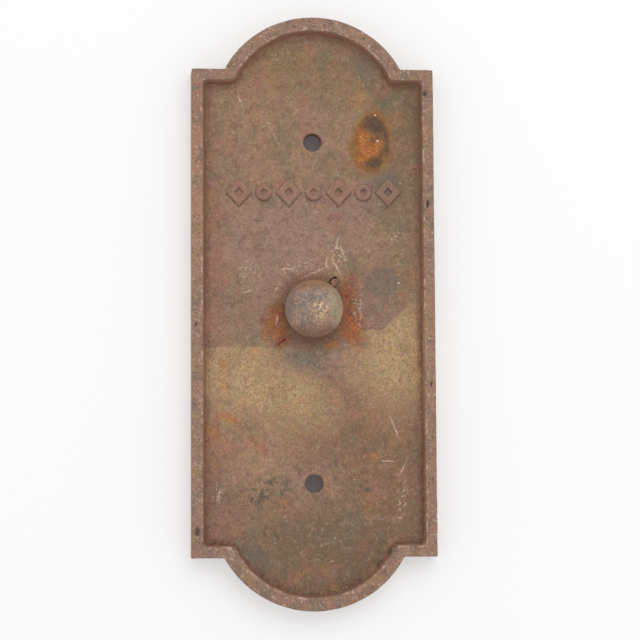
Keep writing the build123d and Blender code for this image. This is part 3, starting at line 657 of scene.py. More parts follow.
def rusted_iron():
    """Old brown cast iron with patchy tints, rust, scratches, grime and painted shade in its creases and hollows, laid
    out on the plate's face.
    """
    f = Finish("rusted_cast_iron")
    ragged, torn, loose = f.warped(9, 3.2), f.warped(2.6, 1.1, 3), f.warped(24, 8, 5)
    speck, dust, grit = f.noise(1.15, 2, 0.6, 3), f.noise(0.6, 2, 0.6, 4), f.noise(0.85, 3, 0.65, 26)
    f.color = f.mix(f.patches(30, 3, 0.6, 1, 0.35, 0.68), tone(154, 125, 98), tone(150, 119, 107))
    f.wash(f.patches(11, 4, 0.62, 2, 0.5, 0.72), tone(139, 113, 89), 0.7)
    # broad tints of the field
    tints = [
        (ragged, 46, 96, 17, 46, 0.5, (122, 102, 76), 0.85), (ragged, 2, 128, 42, 18, 0.6, (137, 112, 80), 0.7),
        (loose, -30, 96, 22, 26, 0.6, (157, 124, 97), 0.7), (loose, -14, 36, 34, 20, 0.6, (157, 126, 112), 0.85),
        (loose, 34, 8, 15, 18, 0.6, (141, 114, 98), 0.7), (ragged, -53, 22, 7, 66, 0.6, (157, 117, 100), 0.9),
        (ragged, 49, 26, 7, 60, 0.6, (142, 117, 91), 0.6), (loose, 4, -56, 52, 22, 0.5, (141, 110, 84), 0.75),
        (loose, -38, -72, 24, 20, 0.6, (170, 134, 105), 0.8), (loose, 36, -84, 26, 40, 0.6, (134, 103, 79), 0.8),
        (loose, 6, -128, 48, 28, 0.6, (119, 96, 74), 0.85), (loose, -50, -104, 14, 34, 0.6, (148, 108, 94), 0.75),
    ]
    for place, x, z, a, b, soft, display, strength in tints:
        f.wash(f.blob(x, z, a, b, 0, soft, place), tone(*display), strength)
    f.mottle([
        (17, 0.51, 0.68, tone(162, 112, 96), 0.5, 31), (14, 0.53, 0.69, tone(172, 126, 86), 0.45, 32),
        (19, 0.51, 0.69, tone(114, 107, 86), 0.5, 33), (7.5, 0.55, 0.70, tone(118, 104, 86), 0.45, 49),
        (3.4, 0.55, 0.68, tone(174, 146, 126), 0.36, 34), (3.8, 0.54, 0.66, tone(112, 86, 70), 0.36, 35),
        (1.7, 0.61, 0.69, tone(88, 70, 58), 0.55, 36),
    ])
    # tan deposits with a sharp upper edge, full of fine dark specks
    torn_x, torn_z = f.along(torn, 1, 0, 0), f.along(torn, 0, 0, 1)
    left = f.either(f.blob(-42, -31, 19, 20, 0, 0.55, torn), f.blob(-20, -42, 26, 14, 20, 0.75, loose))
    left = f.both(left, f.span(torn_z, -17.9, -19.1))
    slope = f.math("MAXIMUM", f.math("SUBTRACT", torn_x, 45.5), -9.5)
    right = f.both(f.blob(45, -22, 23, 27, 0, 0.7, loose), f.span(f.math("SUBTRACT", torn_z, slope), 0.7, -0.8))
    deposit = f.both(f.either(left, right), f.patches(16, 3, 0.6, 24, 0.25, 0.6, 0.62, 1.0))
    f.wash(deposit, tone(190, 158, 120), 0.88)
    f.mottle([(7, 0.52, 0.66, tone(196, 152, 98), 0.5, 37), (9, 0.54, 0.66, tone(150, 124, 96), 0.5, 38)], deposit)
    f.wash(f.both(deposit, f.span(grit, 0.50, 0.62)), tone(128, 100, 74), 0.55)
    f.wash(f.both(f.blob(0, -38, 58, 18, 0, 0.9, loose), f.span(grit, 0.54, 0.66)), tone(112, 90, 70), 0.35)
    # grey-blue stains
    grey = f.either(
        f.blobs(torn, (36, 15.5, 9.5, 7.4, 0, 0.3), (-5, -24.5, 9, 5, 10, 0.6), (26, -17, 2.4, 1.6, 0, 0.5)),
        f.blobs(ragged, (38, 68, 8, 7, 0, 0.7), (28, 128, 8, 5, 40, 0.8), (-30, -126, 12, 5, 30, 0.8)))
    f.wash(grey, tone(116, 108, 98), 0.6)
    stains = f.blobs(torn, (-27, -94, 14, 8, -24, 0.7), (-22, -116, 4, 4, 0, 0.7), (27, -91, 3, 2.6, 0, 0.7),
                     (10, -78, 2.6, 2, -30, 0.7))
    f.wash(f.both(stains, f.patches(2.6, 3, 0.6, 9, 0.48, 0.6)), tone(90, 84, 72), 0.8)
    # rust round the button and at the edges
    halo = f.either(f.blobs(ragged, (20.0, -7.0, 6.2, 11, -14, 0.55), (-19.4, -6, 6.8, 9.5, 12, 0.55)),
                    f.blob(17.5, 6, 5.4, 12, 12, 0.6, torn))
    f.wash(f.blob(0, 0, 21, 20.5, 0, 0.12, torn), tone(124, 88, 68), 0.6)
    f.wash(halo, tone(148, 93, 61), 0.88)
    f.mottle([(2.9, 0.47, 0.62, tone(166, 98, 56), 0.6, 39), (1.8, 0.54, 0.64, tone(92, 60, 44), 0.6, 40)], halo)
    bright = f.blobs(torn, (19.4, -9.6, 4.8, 5.6, -20, 0.7), (9.6, -17.0, 3.2, 2.2, 0, 0.8))
    f.wash(f.both(bright, f.span(speck, 0.2, 0.6)), tone(170, 100, 54), 0.75)
    f.wash(f.blob(-16.6, -15.6, 4.4, 3.4, -38, 0.6, torn), tone(122, 76, 56), 0.7)
    spots = f.blobs(torn, (-53, -62, 4.5, 3.6, 30, 0.7), (31, -75, 3, 2.2, 0, 0.8), (-47, -27, 2, 2.6, 0, 0.7),
                    (-46, -39, 2.2, 1.6, 0, 0.8), (-44, -55, 5.5, 2.4, 15, 0.8), (-15, -98, 1.6, 1.3, 0, 0.7))
    f.wash(spots, tone(174, 114, 66), 0.6)
    f.wash(f.blob(24.5, 113, 3, 6, 0, 0.9, ragged), tone(172, 126, 76), 0.55)
    # the large rust scab: an orange outline, dark flakes and a bright patch
    across, up = f.ellipse(31.0, 89.2, 10.5, 16.0, 6, f.warped(4.5, 1.0, 8))
    across = f.math("DIVIDE", across, f.math("ADD", 1.0, f.math("MULTIPLY", up, -0.16)))
    radius = f.vector("LENGTH", f.node("CombineXYZ", across, up, 0.0).outputs[0])
    within = f.span(radius, 1.02, 0.92)
    f.wash(f.span(radius, 1.4, 0.95), tone(150, 112, 74), 0.5)
    f.wash(within, tone(132, 94, 61), 0.95)
    f.mottle([(2.0, 0.50, 0.62, tone(168, 108, 56), 0.7, 41), (1.7, 0.53, 0.64, tone(100, 72, 50), 0.5, 42)], within)
    flake = f.blobs(torn, (32.4, 98.0, 6.0, 4.2, 14, 0.4), (32.2, 78.2, 4.6, 2.8, 12, 0.4),
                    (38.8, 88.6, 1.8, 7.0, -8, 0.5))
    f.wash(f.both(flake, within), tone(94, 77, 62), 0.8)
    ember = f.both(f.blobs(torn, (29.8, 84.0, 8.2, 3.2, -36, 0.5), (26.4, 90.0, 3.2, 5.4, 6, 0.8)), within)
    f.wash(ember, tone(184, 112, 58), 0.9)
    f.wash(f.both(ember, f.span(dust, 0.52, 0.66)), tone(222, 146, 84), 0.8)
    f.wash(f.both(ember, f.patches(1.5, 3, 0.6, 12, 0.54, 0.64)), tone(132, 76, 44), 0.5)
    band = f.both(f.span(radius, 0.84, 0.96), f.span(radius, 1.12, 0.99))
    band = f.either(band, f.blob(22.4, 88, 1.8, 8, 4, 0.7, torn))
    f.wash(f.both(band, f.patches(2.2, 3, 0.6, 25, 0.36, 0.58, 0.25, 1.0)), tone(148, 103, 60), 0.8)
    # rim faces are a little paler and pinker; their inner edge is rubbed bright in places
    depth = f.along(f.place, 0, 1, 0)
    on_rim = f.span(depth, -DEPTH + 1.4, -DEPTH + 0.5)
    f.wash(on_rim, tone(155, 124, 106), 0.75)
    f.wash(f.both(f.blob(-60, 66, 6, 42, 0, 0.6, ragged), on_rim), tone(174, 132, 108), 0.65)
    f.mottle([
        (7, 0.50, 0.64, tone(126, 108, 98), 0.7, 14), (11, 0.52, 0.66, tone(158, 126, 92), 0.7, 17),
        (5, 0.54, 0.66, tone(168, 118, 102), 0.6, 43), (4, 0.58, 0.68, tone(112, 106, 92), 0.6, 44),
        (1.9, 0.575, 0.67, tone(200, 172, 158), 0.6, 45), (1.5, 0.60, 0.68, tone(92, 70, 62), 0.65, 46),
    ], on_rim)
    wall = f.both(f.span(depth, FIELD - 0.35, FIELD - 1.3), f.span(depth, -DEPTH + 0.9, -DEPTH + 1.8))
    f.wash(wall, tone(158, 110, 90), 0.6)
    edge = f.stored("edge")
    rubbed = f.both(f.span(edge, 0.35, 0.9), f.patches(4.2, 4, 0.7, 15, 0.52, 0.64))
    f.wash(rubbed, tone(200, 170, 156), 0.75)
    # grime and painted shade along the rim's foot; painted shade in its crease, in hollows, on and under the marks and
    # in the rim's nicks; rust along the crack
    grime_and_shade = f.stored("grime_and_shade")
    f.wash(f.both(f.span(grime_and_shade, 0.05, 0.95), f.patches(14, 4, 0.6, 16, 0.25, 0.6, 0.2, 1.0)), tone(112, 82, 62), 0.55)
    # painted shade: a dark line in the crease at the rim's foot
    crease_shade = f.stored("crease_shade")
    f.wash(f.both(crease_shade, f.patches(2.6, 4, 0.7, 47, 0.47, 0.57)), tone(70, 62, 48), 0.62)
    relief = f.stored("relief")
    # painted shade inside the crack, the screw mouths and other hollows
    f.wash(f.span(relief, -0.12, -0.5), tone(52, 32, 25), 0.93)
    f.wash(f.span(relief, 0.35, 0.8), tone(154, 118, 104), 0.45)
    # painted shade on the sloping edges of the marks
    f.wash(f.both(f.span(relief, 0.1, 0.3), f.span(relief, 0.6, 0.35)), tone(108, 80, 68), 0.6)
    # painted shadow just under the lower edge of each mark
    mark_shadow = f.stored("mark_shadow")
    f.wash(f.both(mark_shadow, f.patches(2.5, 3, 0.6, 50, 0.3, 0.55, 0.4, 1.0)), tone(92, 68, 57), 0.8)
    crack = f.stored("crack")
    f.wash(f.both(crack, f.span(speck, 0.35, 0.6)), tone(164, 84, 54), 0.85)
    # painted shade in the nicks in the rim
    dents = f.blobs(torn, (58.4, 114.0, 0.9, 1.5, 0, 0.5), (59.6, 55.6, 0.6, 2.6, 8, 0.5),
                    (-60.6, -7, 0.6, 1.2, 0, 0.6), (60.4, -38, 0.6, 1.3, 0, 0.6), (-60.0, -113, 1.4, 2.4, 0, 0.6))
    f.wash(f.both(dents, on_rim), tone(62, 48, 44), 0.85)
    # scratches: clear ones, faint ones, then clusters of bright flecks
    shaken = f.warped(5, 0.7, 6)
    lines = [
        (1.0, 20.4, 6.6, 0.5, -24), (7.0, 25.4, 0.4, 2.8, 6), (12.2, 23.4, 0.45, 4.2, -28), (12.8, 36.6, 0.45, 3.2, 16),
        (15.6, 30.8, 0.5, 2.8, -22), (41.9, -60, 0.45, 5.6, -22), (46.6, -80, 0.35, 4.6, 27),
        (-19.1, -4.3, 0.5, 2.6, 8), (-37.6, 110.6, 0.45, 3.0, -20), (-34, 10.5, 2.4, 0.45, -20),
        (-12.6, 22.5, 2.6, 0.5, 8), (-49, -94, 0.5, 3.4, 14), (38, -77.5, 3.2, 0.4, 4), (-27, -50, 0.4, 2.2, 20)]
    faint = [
        (-20.7, 94, 0.4, 14, -30), (19.0, 13.0, 2.4, 0.4, 50), (23, -42, 3.2, 0.4, -24), (-50, 118, 3, 0.4, 14),
        (24.8, 4, 0.5, 3.2, -3), (24.2, -5, 0.5, 3, 8), (30, 44, 0.35, 5, 35), (-8, 58, 5, 0.35, -12),
        (36, -108, 3, 0.4, 40), (-22, -66, 0.35, 4, -8), (11, -118.5, 7.8, 0.4, -15)]
    clusters = [
        (45, -97, 2.4, 11, 7), (-23.3, -14.1, 3, 1.8, 0), (-33, 22, 4.5, 4, 0), (-18, 12, 2.2, 3.4, 0),
        (-49, -94, 2.6, 5, 0), (12, 30, 5, 7, 0), (23, 2, 2.6, 9, 0), (-6, 24, 10, 3.4, -10), (44, 40, 5, 3, 0)]
    for rows, low, high, shade, strength in (
            (lines, 0.36, 0.52, tone(212, 182, 168), 0.75), (faint, 0.44, 0.6, tone(192, 162, 148), 0.5)):
        drawn = f.blobs(shaken, *[(*row, 0.6) for row in rows])
        f.wash(f.both(drawn, f.patches(1.5, 3, 0.7, 18, low, high)), shade, strength)
    nicked = f.blobs(torn, *[(*row, 0.8) for row in clusters])
    flecks = f.patches(1.0, 2, 0.6, 48, 0.555, 0.635)
    f.wash(f.both(nicked, flecks), tone(214, 186, 172), 0.7)
    nick = f.both(f.patches(1.3, 1, 0.5, 19, 0.715, 0.76), f.patches(20, 2, 0.5, 20, 0.4, 0.58))
    f.wash(nick, tone(214, 190, 174), 0.75)
    glints = f.blobs(None, (34.2, 89.8, 0.5, 0.5, 0, 0.5), (33.2, 103.4, 0.4, 0.4, 0, 0.5),
                     (44.6, 15, 0.4, 0.4, 0, 0.5))
    f.wash(glints, tone(238, 226, 206), 1.0)
    # grain at two scales
    for mask, low, high in ((f.span(speck, 0.3, 0.72), 0.84, 1.13), (f.span(dust, 0.28, 0.72), 0.89, 1.10)):
        f.shade(mask, (low, low * 0.995, low * 0.99), (high, high * 0.998, high * 0.99))
    hue = f.node("HueSaturation")
    f.feed(hue.inputs["Color"], f.color)
    f.feed(hue.inputs["Hue"], f.patches(3.4, 3, 0.6, 21, 0.3, 0.7, 0.485, 0.515))
    rough = f.patches(5, 3, 0.6, 22, 0.3, 0.7, 0.62, 0.86)
    normal = f.bump(speck, 0.6, 0.22, f.bump(dust, 0.55, 0.14))
    return f.surface(hue.outputs[0], rough, 0.0, normal, 0.3)


def rough_back():
    """The unseen back as cast: sandy, scaled and blooming with rust."""
    f = Finish("rough_cast_back")
    speck = f.noise(1.3, 3, 0.6, 3)
    f.color = f.mix(f.patches(22, 4, 0.6, 1, 0.36, 0.64), tone(108, 84, 70), tone(136, 106, 86))
    f.mottle([
        (10, 0.54, 0.66, tone(150, 92, 58), 0.65, 4), (14, 0.55, 0.68, tone(88, 82, 76), 0.6, 5),
        (4.5, 0.57, 0.68, tone(164, 136, 110), 0.4, 6), (3, 0.60, 0.70, tone(70, 54, 46), 0.5, 7),
    ], rough=0.65)
    f.shade(f.span(speck, 0.3, 0.7), (0.84, 0.84, 0.84), (1.14, 1.13, 1.12))
    normal = f.bump(speck, 0.7, 0.3, f.bump(f.noise(4.5, 4, 0.65, 6), 0.5, 0.4))
    return f.surface(f.color, 0.85, 0.0, normal, 0.25)


def worn_brass():
    """The button's dome: brass gone grey-mauve and green, rubbed gold where fingers press, with painted shade on the
    skirt next to the plate.
    """
    f = Finish("worn_brass_dome")
    torn = f.warped(2.4, 1.5, 2)
    mottle = f.noise(5.2, 5, 0.72, 1)
    fleck = f.noise(0.8, 2, 0.6, 2)
    f.color = f.mix(f.span(mottle, 0.38, 0.62), tone(138, 118, 110), tone(166, 138, 118))
    f.wash(f.blob(0, 15.5, 15, 4.5, 0, 0.5, torn), tone(164, 120, 88), 0.8)
    f.wash(f.blob(1, -12, 12, 5, 0, 0.5, torn), tone(134, 98, 76), 0.75)
    f.wash(f.blob(12.0, 2, 4.6, 10, -8, 0.7, torn), tone(174, 158, 128), 0.85)
    f.wash(f.blob(-13, 1, 2.6, 8, 8, 0.6, torn), tone(142, 119, 110), 0.7)
    f.wash(f.both(f.blob(-3, -8, 5, 4, 0, 0.6, torn), f.patches(2.6, 4, 0.7, 9, 0.46, 0.58)), tone(104, 100, 96), 0.7)
    f.wash(f.both(f.blob(-2, 3, 11, 9, 0, 0.7, torn), f.patches(3.6, 5, 0.75, 5, 0.48, 0.58)), tone(112, 104, 106), 0.8)
    f.wash(f.patches(6.5, 4, 0.6, 6, 0.52, 0.62), tone(160, 122, 102), 0.5)
    gold = f.both(f.blob(3.2, -0.6, 4.2, 4.8, 20, 0.9, torn), f.patches(1.9, 5, 0.75, 8, 0.46, 0.56))
    f.wash(gold, tone(230, 192, 142), 0.9)
    shine = f.both(f.blob(0, 1, 12, 11, 0, 0.6, torn), f.patches(0.9, 2, 0.6, 7, 0.58, 0.67))
    f.wash(shine, tone(208, 188, 168), 0.75)
    f.wash(f.patches(1.4, 2, 0.6, 10, 0.62, 0.7), tone(84, 70, 62), 0.6)
    depth = f.along(f.place, 0, 1, 0)
    # painted shade on the skirt next to the plate
    f.wash(f.span(depth, -15.2, -13.7), tone(96, 78, 62), 0.85)
    metal = f.math("ADD", f.math("MULTIPLY", gold, 0.5), 0.22)
    rough = f.math("SUBTRACT", f.span(mottle, 0.3, 0.7, 0.62, 0.5), f.math("MULTIPLY", gold, 0.16))
    normal = f.bump(fleck, 0.55, 0.16, f.bump(mottle, 0.5, 0.3))
    f.shade(f.span(fleck, 0.3, 0.7), (0.86, 0.86, 0.86), (1.14, 1.13, 1.1))
    return f.surface(f.color, rough, metal, normal, 0.4)


def metal(name, base, stain, rust=None, metallic=0.85, rough=0.4, wear=6.0, rust_share=0.5):
    """Aged metal: a base colour, blotches of tarnish, specks of rust and fine handling marks."""
    f = Finish(name)
    blotch = f.noise(wear, 4, 0.62, 1)
    fine = f.noise(0.7, 3, 0.6, 2)
    patch = f.span(blotch, 0.42, 0.64)
    f.color = f.mix(patch, base, stain)
    shine = metallic
    if rust:
        spread = f.both(f.patches(2.6, 4, 0.65, 3, 0.62 - 0.2 * rust_share, 0.74 - 0.2 * rust_share),
                        f.patches(13, 2, 0.5, 4, 0.3, 0.6))
        f.color = f.mix(spread, f.color, rust)
        shine = f.math("MULTIPLY", f.math("SUBTRACT", 1.0, f.math("MULTIPLY", spread, 0.9)), metallic)
    f.shade(f.span(fine, 0.3, 0.7), (0.87, 0.87, 0.87), (1.1, 1.1, 1.1))
    roughness = f.math("ADD", f.span(blotch, 0.3, 0.7, rough, rough + 0.2), f.math("MULTIPLY", fine, 0.08))
    normal = f.bump(fine, 0.35, 0.06, f.bump(blotch, 0.3, 0.1))
    return f.surface(f.color, roughness, shine, normal, 0.5)


def bakelite():
    """Pressed brown plastic with a faint swirl, dulled and dusty."""
    f = Finish("brown_bakelite")
    swirl = f.noise(5, 4, 0.7, 1, f.warped(12, 7))
    grit = f.noise(0.9, 2, 0.6, 2)
    f.color = f.mix(f.span(swirl, 0.35, 0.65), tone(52, 31, 24), tone(86, 54, 40))
    f.wash(f.patches(9, 3, 0.6, 3, 0.5, 0.72), tone(130, 108, 92), 0.35)
    rough = f.patches(6, 3, 0.6, 4, 0.3, 0.7, 0.32, 0.52)
    return f.surface(f.color, rough, 0.0, f.bump(grit, 0.25, 0.05, f.bump(swirl, 0.2, 0.12)), 0.5)


def fibre(name, base, fleck_tone, size=0.8, rough=0.8, sheen=0.0, relief=0.1):
    """Pressed fibre or felt: matted strands in two tones."""
    f = Finish(name)
    strands = f.noise(size, 4, 0.7, 1, f.warped(size * 3, size * 2))
    f.color = f.mix(f.span(strands, 0.38, 0.62), base, fleck_tone)
    f.wash(f.patches(4, 2, 0.5, 2, 0.5, 0.7), tone(96, 76, 60), 0.4)
    return f.surface(f.color, rough, 0.0, f.bump(strands, 0.6, relief), 0.2, sheen)


def cloth(name, base, light, thread):
    """Braided cotton over a wire: crossing yarns follow the braid attribute, soiled in patches."""
    f = Finish(name)
    yarn = f.noise(0.35, 3, 0.6, 1)
    f.color = f.mix(f.span(f.stored("braid"), 0.2, 0.9), base, light)
    f.wash(f.span(f.stored("tracer"), 0.55, 0.75), thread, 0.8)
    f.wash(f.patches(7, 4, 0.6, 2, 0.45, 0.7), tone(70, 54, 42), 0.5)
    f.shade(f.span(yarn, 0.3, 0.7), (0.8, 0.8, 0.8), (1.15, 1.15, 1.15))
    return f.surface(f.color, 0.9, 0.0, f.bump(yarn, 0.5, 0.08), 0.15, 0.35)


def screw_steel():
    """Dark steel whose exposed ends have rusted the same brown as the casting."""
    f = Finish("rusted_screw_steel")
    depth = f.along(f.place, 0, 1, 0)
    ends = f.span(depth, -5.0, -6.5)
    lump = f.noise(1.6, 3, 0.6, 1)
    rusty = f.mix(f.span(lump, 0.35, 0.65), tone(116, 76, 54), tone(164, 122, 100))
    steel = f.mix(f.patches(3, 4, 0.62, 2, 0.42, 0.64), tone(98, 86, 80), tone(84, 60, 46))
    color = f.mix(ends, steel, rusty)
    shine = f.math("MULTIPLY", f.math("SUBTRACT", 1.0, ends), 0.6)
    return f.surface(color, 0.62, shine, f.bump(lump, 0.6, 0.2), 0.3)


RUST = tone(128, 72, 42)
# by the record's material slots, and screw_ends for the screws whose ends show in front
FINISHES = {
    "rusted_iron": rusted_iron(),
    "worn_brass": worn_brass(),
    "brass": metal("aged_brass", tone(188, 150, 84), tone(118, 92, 58), tone(92, 112, 88), 0.9, 0.34, 5, 0.15),
    "dark_steel": metal("dark_rusty_steel", tone(98, 86, 80), tone(70, 58, 52), RUST, 0.6, 0.5, 3, 0.9),
    "screw_ends": screw_steel(),
    "plated_steel": metal("dull_plated_steel", tone(164, 160, 152), tone(120, 114, 104), RUST, 0.85, 0.42, 8, 0.35),
    "spring_steel": metal("oiled_spring_steel", tone(118, 114, 112), tone(82, 76, 72), RUST, 0.85, 0.36, 3, 0.4),
    "silver_point": metal("tarnished_silver", tone(196, 192, 186), tone(112, 104, 98), None, 0.9, 0.3, 2),
    "bakelite": bakelite(),
    "red_fibre": fibre("red_fibre_sheet", tone(122, 40, 30), tone(150, 62, 44), 0.5, 0.7, 0.0, 0.04),
    "felt": fibre("grey_felt", tone(96, 88, 76), tone(134, 122, 104), 0.7, 0.95, 0.5, 0.2),
    "dark_cloth": cloth("dark_braided_cotton", tone(44, 38, 34), tone(76, 66, 58), tone(150, 46, 34)),
    "tan_cloth": cloth("tan_braided_cotton", tone(126, 98, 62), tone(176, 148, 104), tone(64, 44, 32)),
    "copper": metal("dulled_copper", tone(176, 106, 72), tone(112, 70, 52), None, 0.9, 0.38, 2),
}

nodes_of = {
    "brass": "guide_bushing fixed_contact_left fixed_contact_right terminal_screws terminal_washers contact_bridge",
    "plated_steel": "lock_washer bushing_nut switch_frame frame_screw_washers spring_bridge",
    "bakelite": "contact_block insulator_sleeve",
    "red_fibre": "stop_washer insulating_washer",
    "dark_steel": "block_screws plunger_stem",
    "copper": "wire_lugs wire_cores",
    "silver_point": "fixed_contact_points bridge_points",
    "screw_ends": "frame_screws",
    "spring_steel": "tail_clip",
    "felt": "packing_ring",
}
for finish, nodes in nodes_of.items():
    for node in nodes.split():
        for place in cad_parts[node].material_slots:
            place.material = FINISHES[finish]

# ---- the casting

plate_points, plate_faces = casting()
plate_faces = oriented(plate_points, plate_faces)
plate_normals = vertex_normals(plate_points, plate_faces)
move, relief, crack_rust = weather(plate_points, plate_normals)
flat_spots = plate_points[:, [0, 2]]


def inset_of(spots):
    """How far each (x, z) spot is from the plate's outline."""
    ax, az = np.abs(spots[:, 0]), np.abs(spots[:, 1])
    box_in = np.minimum(HALF_WIDTH - ax, SHOULDER - az)
    arch_in = ARCH - np.hypot(ax, az - ARCH_Z)
    arch_in = arch_in - (ARCH_RIM - RIM) * np.clip(arch_in / ARCH_RIM, 0, 1)
    arch_in = np.where(az > ARCH_Z, arch_in, -1e3)
    ledge_x = sqrt(ARCH**2 - (SHOULDER - ARCH_Z) ** 2)
    inner_corner = np.hypot(ax - ledge_x, az - SHOULDER)
    free = np.where((ax < ledge_x) & (az < SHOULDER), np.minimum(HALF_WIDTH - ax, inner_corner), box_in)
    return np.maximum(np.minimum(free, HALF_WIDTH - ax), np.where(az > SHOULDER - 20, arch_in, free))


inset = inset_of(flat_spots)
across, height = flat_spots.T
plate_y = plate_points[:, 1]
on_front = (plate_normals[:, 1] < 0.6) & (plate_y < FIELD + 1)
# a band of grime and painted shade along the rim's foot, wider towards the upper end, where the top rim shades the
# field
grime_shade_reach = 4.0 + 1.32 * smooth(60, 130, height)  # wider towards the upper end
grime_and_shade = smooth(FOOT + grime_shade_reach, FOOT - 0.2, inset) * on_front * (plate_y > FIELD - 3)
along_foot = smooth(-92, -104, height) + 0.8 * (across > 50) * smooth(10, -10, height)
# painted shade in the crease at the rim's foot, along the bottom end and the lower right side
crease_shade = smooth(1.1, 0.2, np.abs(inset - FOOT - 0.1)) * on_front * np.minimum(along_foot, 1)
# painted shadow just below each mark's lower edge
mark_shadow = mark_relief(across, height + 0.9) - mark_relief(across, height)  # just below each mark's edge
mark_shadow = np.clip(mark_shadow, 0, 1) * on_front * (np.abs(height - MARK_Z) < 10)
edge_wear = smooth(1.5, 0.5, np.abs(inset - RIM + 0.1)) * (plate_y < -DEPTH + 0.6)
edge_wear = np.maximum(edge_wear, 0.6 * smooth(1.6, 0.7, inset) * (plate_y < -DEPTH + 1.0))
weathered = plate_points + plate_normals * move[:, None]
weathered = np.clip(weathered, np.array(plate_low) / MM, np.array(plate_high) / MM)
wear_and_shade = {"relief": relief, "grime_and_shade": grime_and_shade, "edge": edge_wear, "crack": crack_rust, "crease_shade": crease_shade, "mark_shadow": mark_shadow}
plate = make_piece("plate_casting", weathered, plate_faces, "station", "face_plate",
                   FINISHES["rusted_iron"], wear_and_shade)
plate.data.materials.append(rough_back())
for face in plate.data.polygons:
    if face.normal.y > 0.3 and face.center.y > (BACK_FLOOR - 0.6) * MM:
        face.material_index = 1


# ---- the button's dome


def turned_rows(profile, count):
    """Rings about the push axis from (y, radius) pairs."""
    a = np.arange(count) * 2 * pi / count
    return [np.column_stack([r * np.cos(a), np.full(count, y), PUSH_Z + r * np.sin(a)]) for y, r in profile]


def dome():
    low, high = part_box("button_cap")
    crown, rim, radius = low.y / MM, high.y / MM, high.x / MM
    sphere, wall, hub, socket = 18.6, 3.0, 6.5, 4.02  # radius of the crown, thickness, radii of hub and its hole
    socket_end = rim - 8.05
    centre = crown + sphere
    shoulder = centre - sqrt(sphere**2 - radius**2)
    arc = [(centre - sqrt(sphere**2 - r**2), r) for r in np.linspace(0.01, radius - 2.6, 34)]
    turn = rounded_path([arc[-1], (shoulder, radius), (rim, radius), (rim, radius - wall)], [2.6, 0.7], 0.5)
    inner = sphere - wall
    under = [(centre - sqrt(inner**2 - r**2), r) for r in np.linspace(radius - wall, hub, 8)]
    rest = [(rim - 2.0, hub), (rim - 2.0, socket), (socket_end, socket), (socket_end, 0.01)]
    rings = turned_rows(arc + turn[1:] + under + rest, 144)
    shell = Shell()
    shell.rows(rings)
    shell.fan(rings[0], (0, crown, PUSH_Z))
    shell.fan(rings[-1], (0, socket_end, PUSH_Z))
    points, faces = shell.welded()
    faces = oriented(points, faces)
    normals = vertex_normals(points, faces)
    x, y, z = points.T
    r = np.hypot(x, z - PUSH_Z)
    outside = (r > radius - 0.4) | (normals[:, 1] < -0.05) & (r > socket + 0.5) & (y < shoulder + 3) | (y < crown + 4)
    dents = np.minimum(grain(points, 4.2, 81, 2) + 0.25, 0) * 0.30 + 0.05 * grain(points, 1.6, 82, 3) - 0.09
    dents -= 0.10 * smooth(0.35, 0.9, grain(points, 1.1, 83))
    move = np.where(outside, np.minimum(dents, 0), 0)
    points = points + normals * move[:, None]
    points[:, 1] = np.maximum(points[:, 1], crown)
    make_piece("button_dome", points, faces, "plunger", "button_cap", FINISHES["worn_brass"])


dome()


# ---- springs and wires


def tube(path, radius, around, bore=None):
    """A round tube along a path; radius may vary by ring and by angle, and a bore is left open through it."""
    path = np.array(path, float)
    along = np.gradient(path, axis=0)
    along /= np.linalg.norm(along, axis=1, keepdims=True)
    side = np.cross(along[0], (0, 1, 0) if abs(along[0][1]) < 0.9 else (1, 0, 0))
    a = np.arange(around) * 2 * pi / around
    rings, gone = [], 0.0
    for k, (p, t) in enumerate(zip(path, along)):
        if k:
            gone += np.linalg.norm(p - path[k - 1])
        side = side - t * (side @ t)
        side /= np.linalg.norm(side)
        up = np.cross(t, side)
        r = radius(gone, a) if callable(radius) else np.full(around, radius)
        rings.append(p + (np.cos(a) * r)[:, None] * side + (np.sin(a) * r)[:, None] * up)
    shell = Shell()
    if bore:
        places = list(range(0, len(path) - 1, 4)) + [len(path) - 1]
        inner = [path[k] + (rings[k] - path[k]) * bore / np.linalg.norm(rings[k] - path[k], axis=1, keepdims=True)
                 for k in reversed(places)]
        shell.rows(rings + inner + rings[:1])
    else:
        shell.rows(rings)
        shell.fan(rings[0], path[0])
        shell.fan(rings[-1], path[-1])
    return shell.welded()


def spring(name, node, body, slot, coil_radius, wire, coils):
    """A compression spring with flattened ends, on a mesh of its own."""
    low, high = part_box(node)
    front, length = low.y / MM, (high.y - low.y) / MM
    turns = coils + 1.0
    t = np.linspace(0, 1, int(turns * 40))
    closed = 0.11  # share of the wire in each flattened end
    rise = np.interp(t, [0, closed, 1 - closed, 1], [0, 0.06, 0.94, 1])
    angle = t * turns * 2 * pi
    y = front + wire / 2 + rise * (length - wire)
    path = np.column_stack([coil_radius * np.cos(angle), y, PUSH_Z + coil_radius * np.sin(angle)])
    points, faces = tube(path, wire / 2, 12)
    faces = oriented(points, faces)
    piece = make_piece(name, points, faces, body, node, FINISHES[slot])
    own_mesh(piece)


spring("spring_return", "return_spring", "station", "spring_steel", 4.9, 0.8, 5)
spring("spring_contact", "contact_spring", "plunger", "spring_steel", 4.6, 0.4, 3)


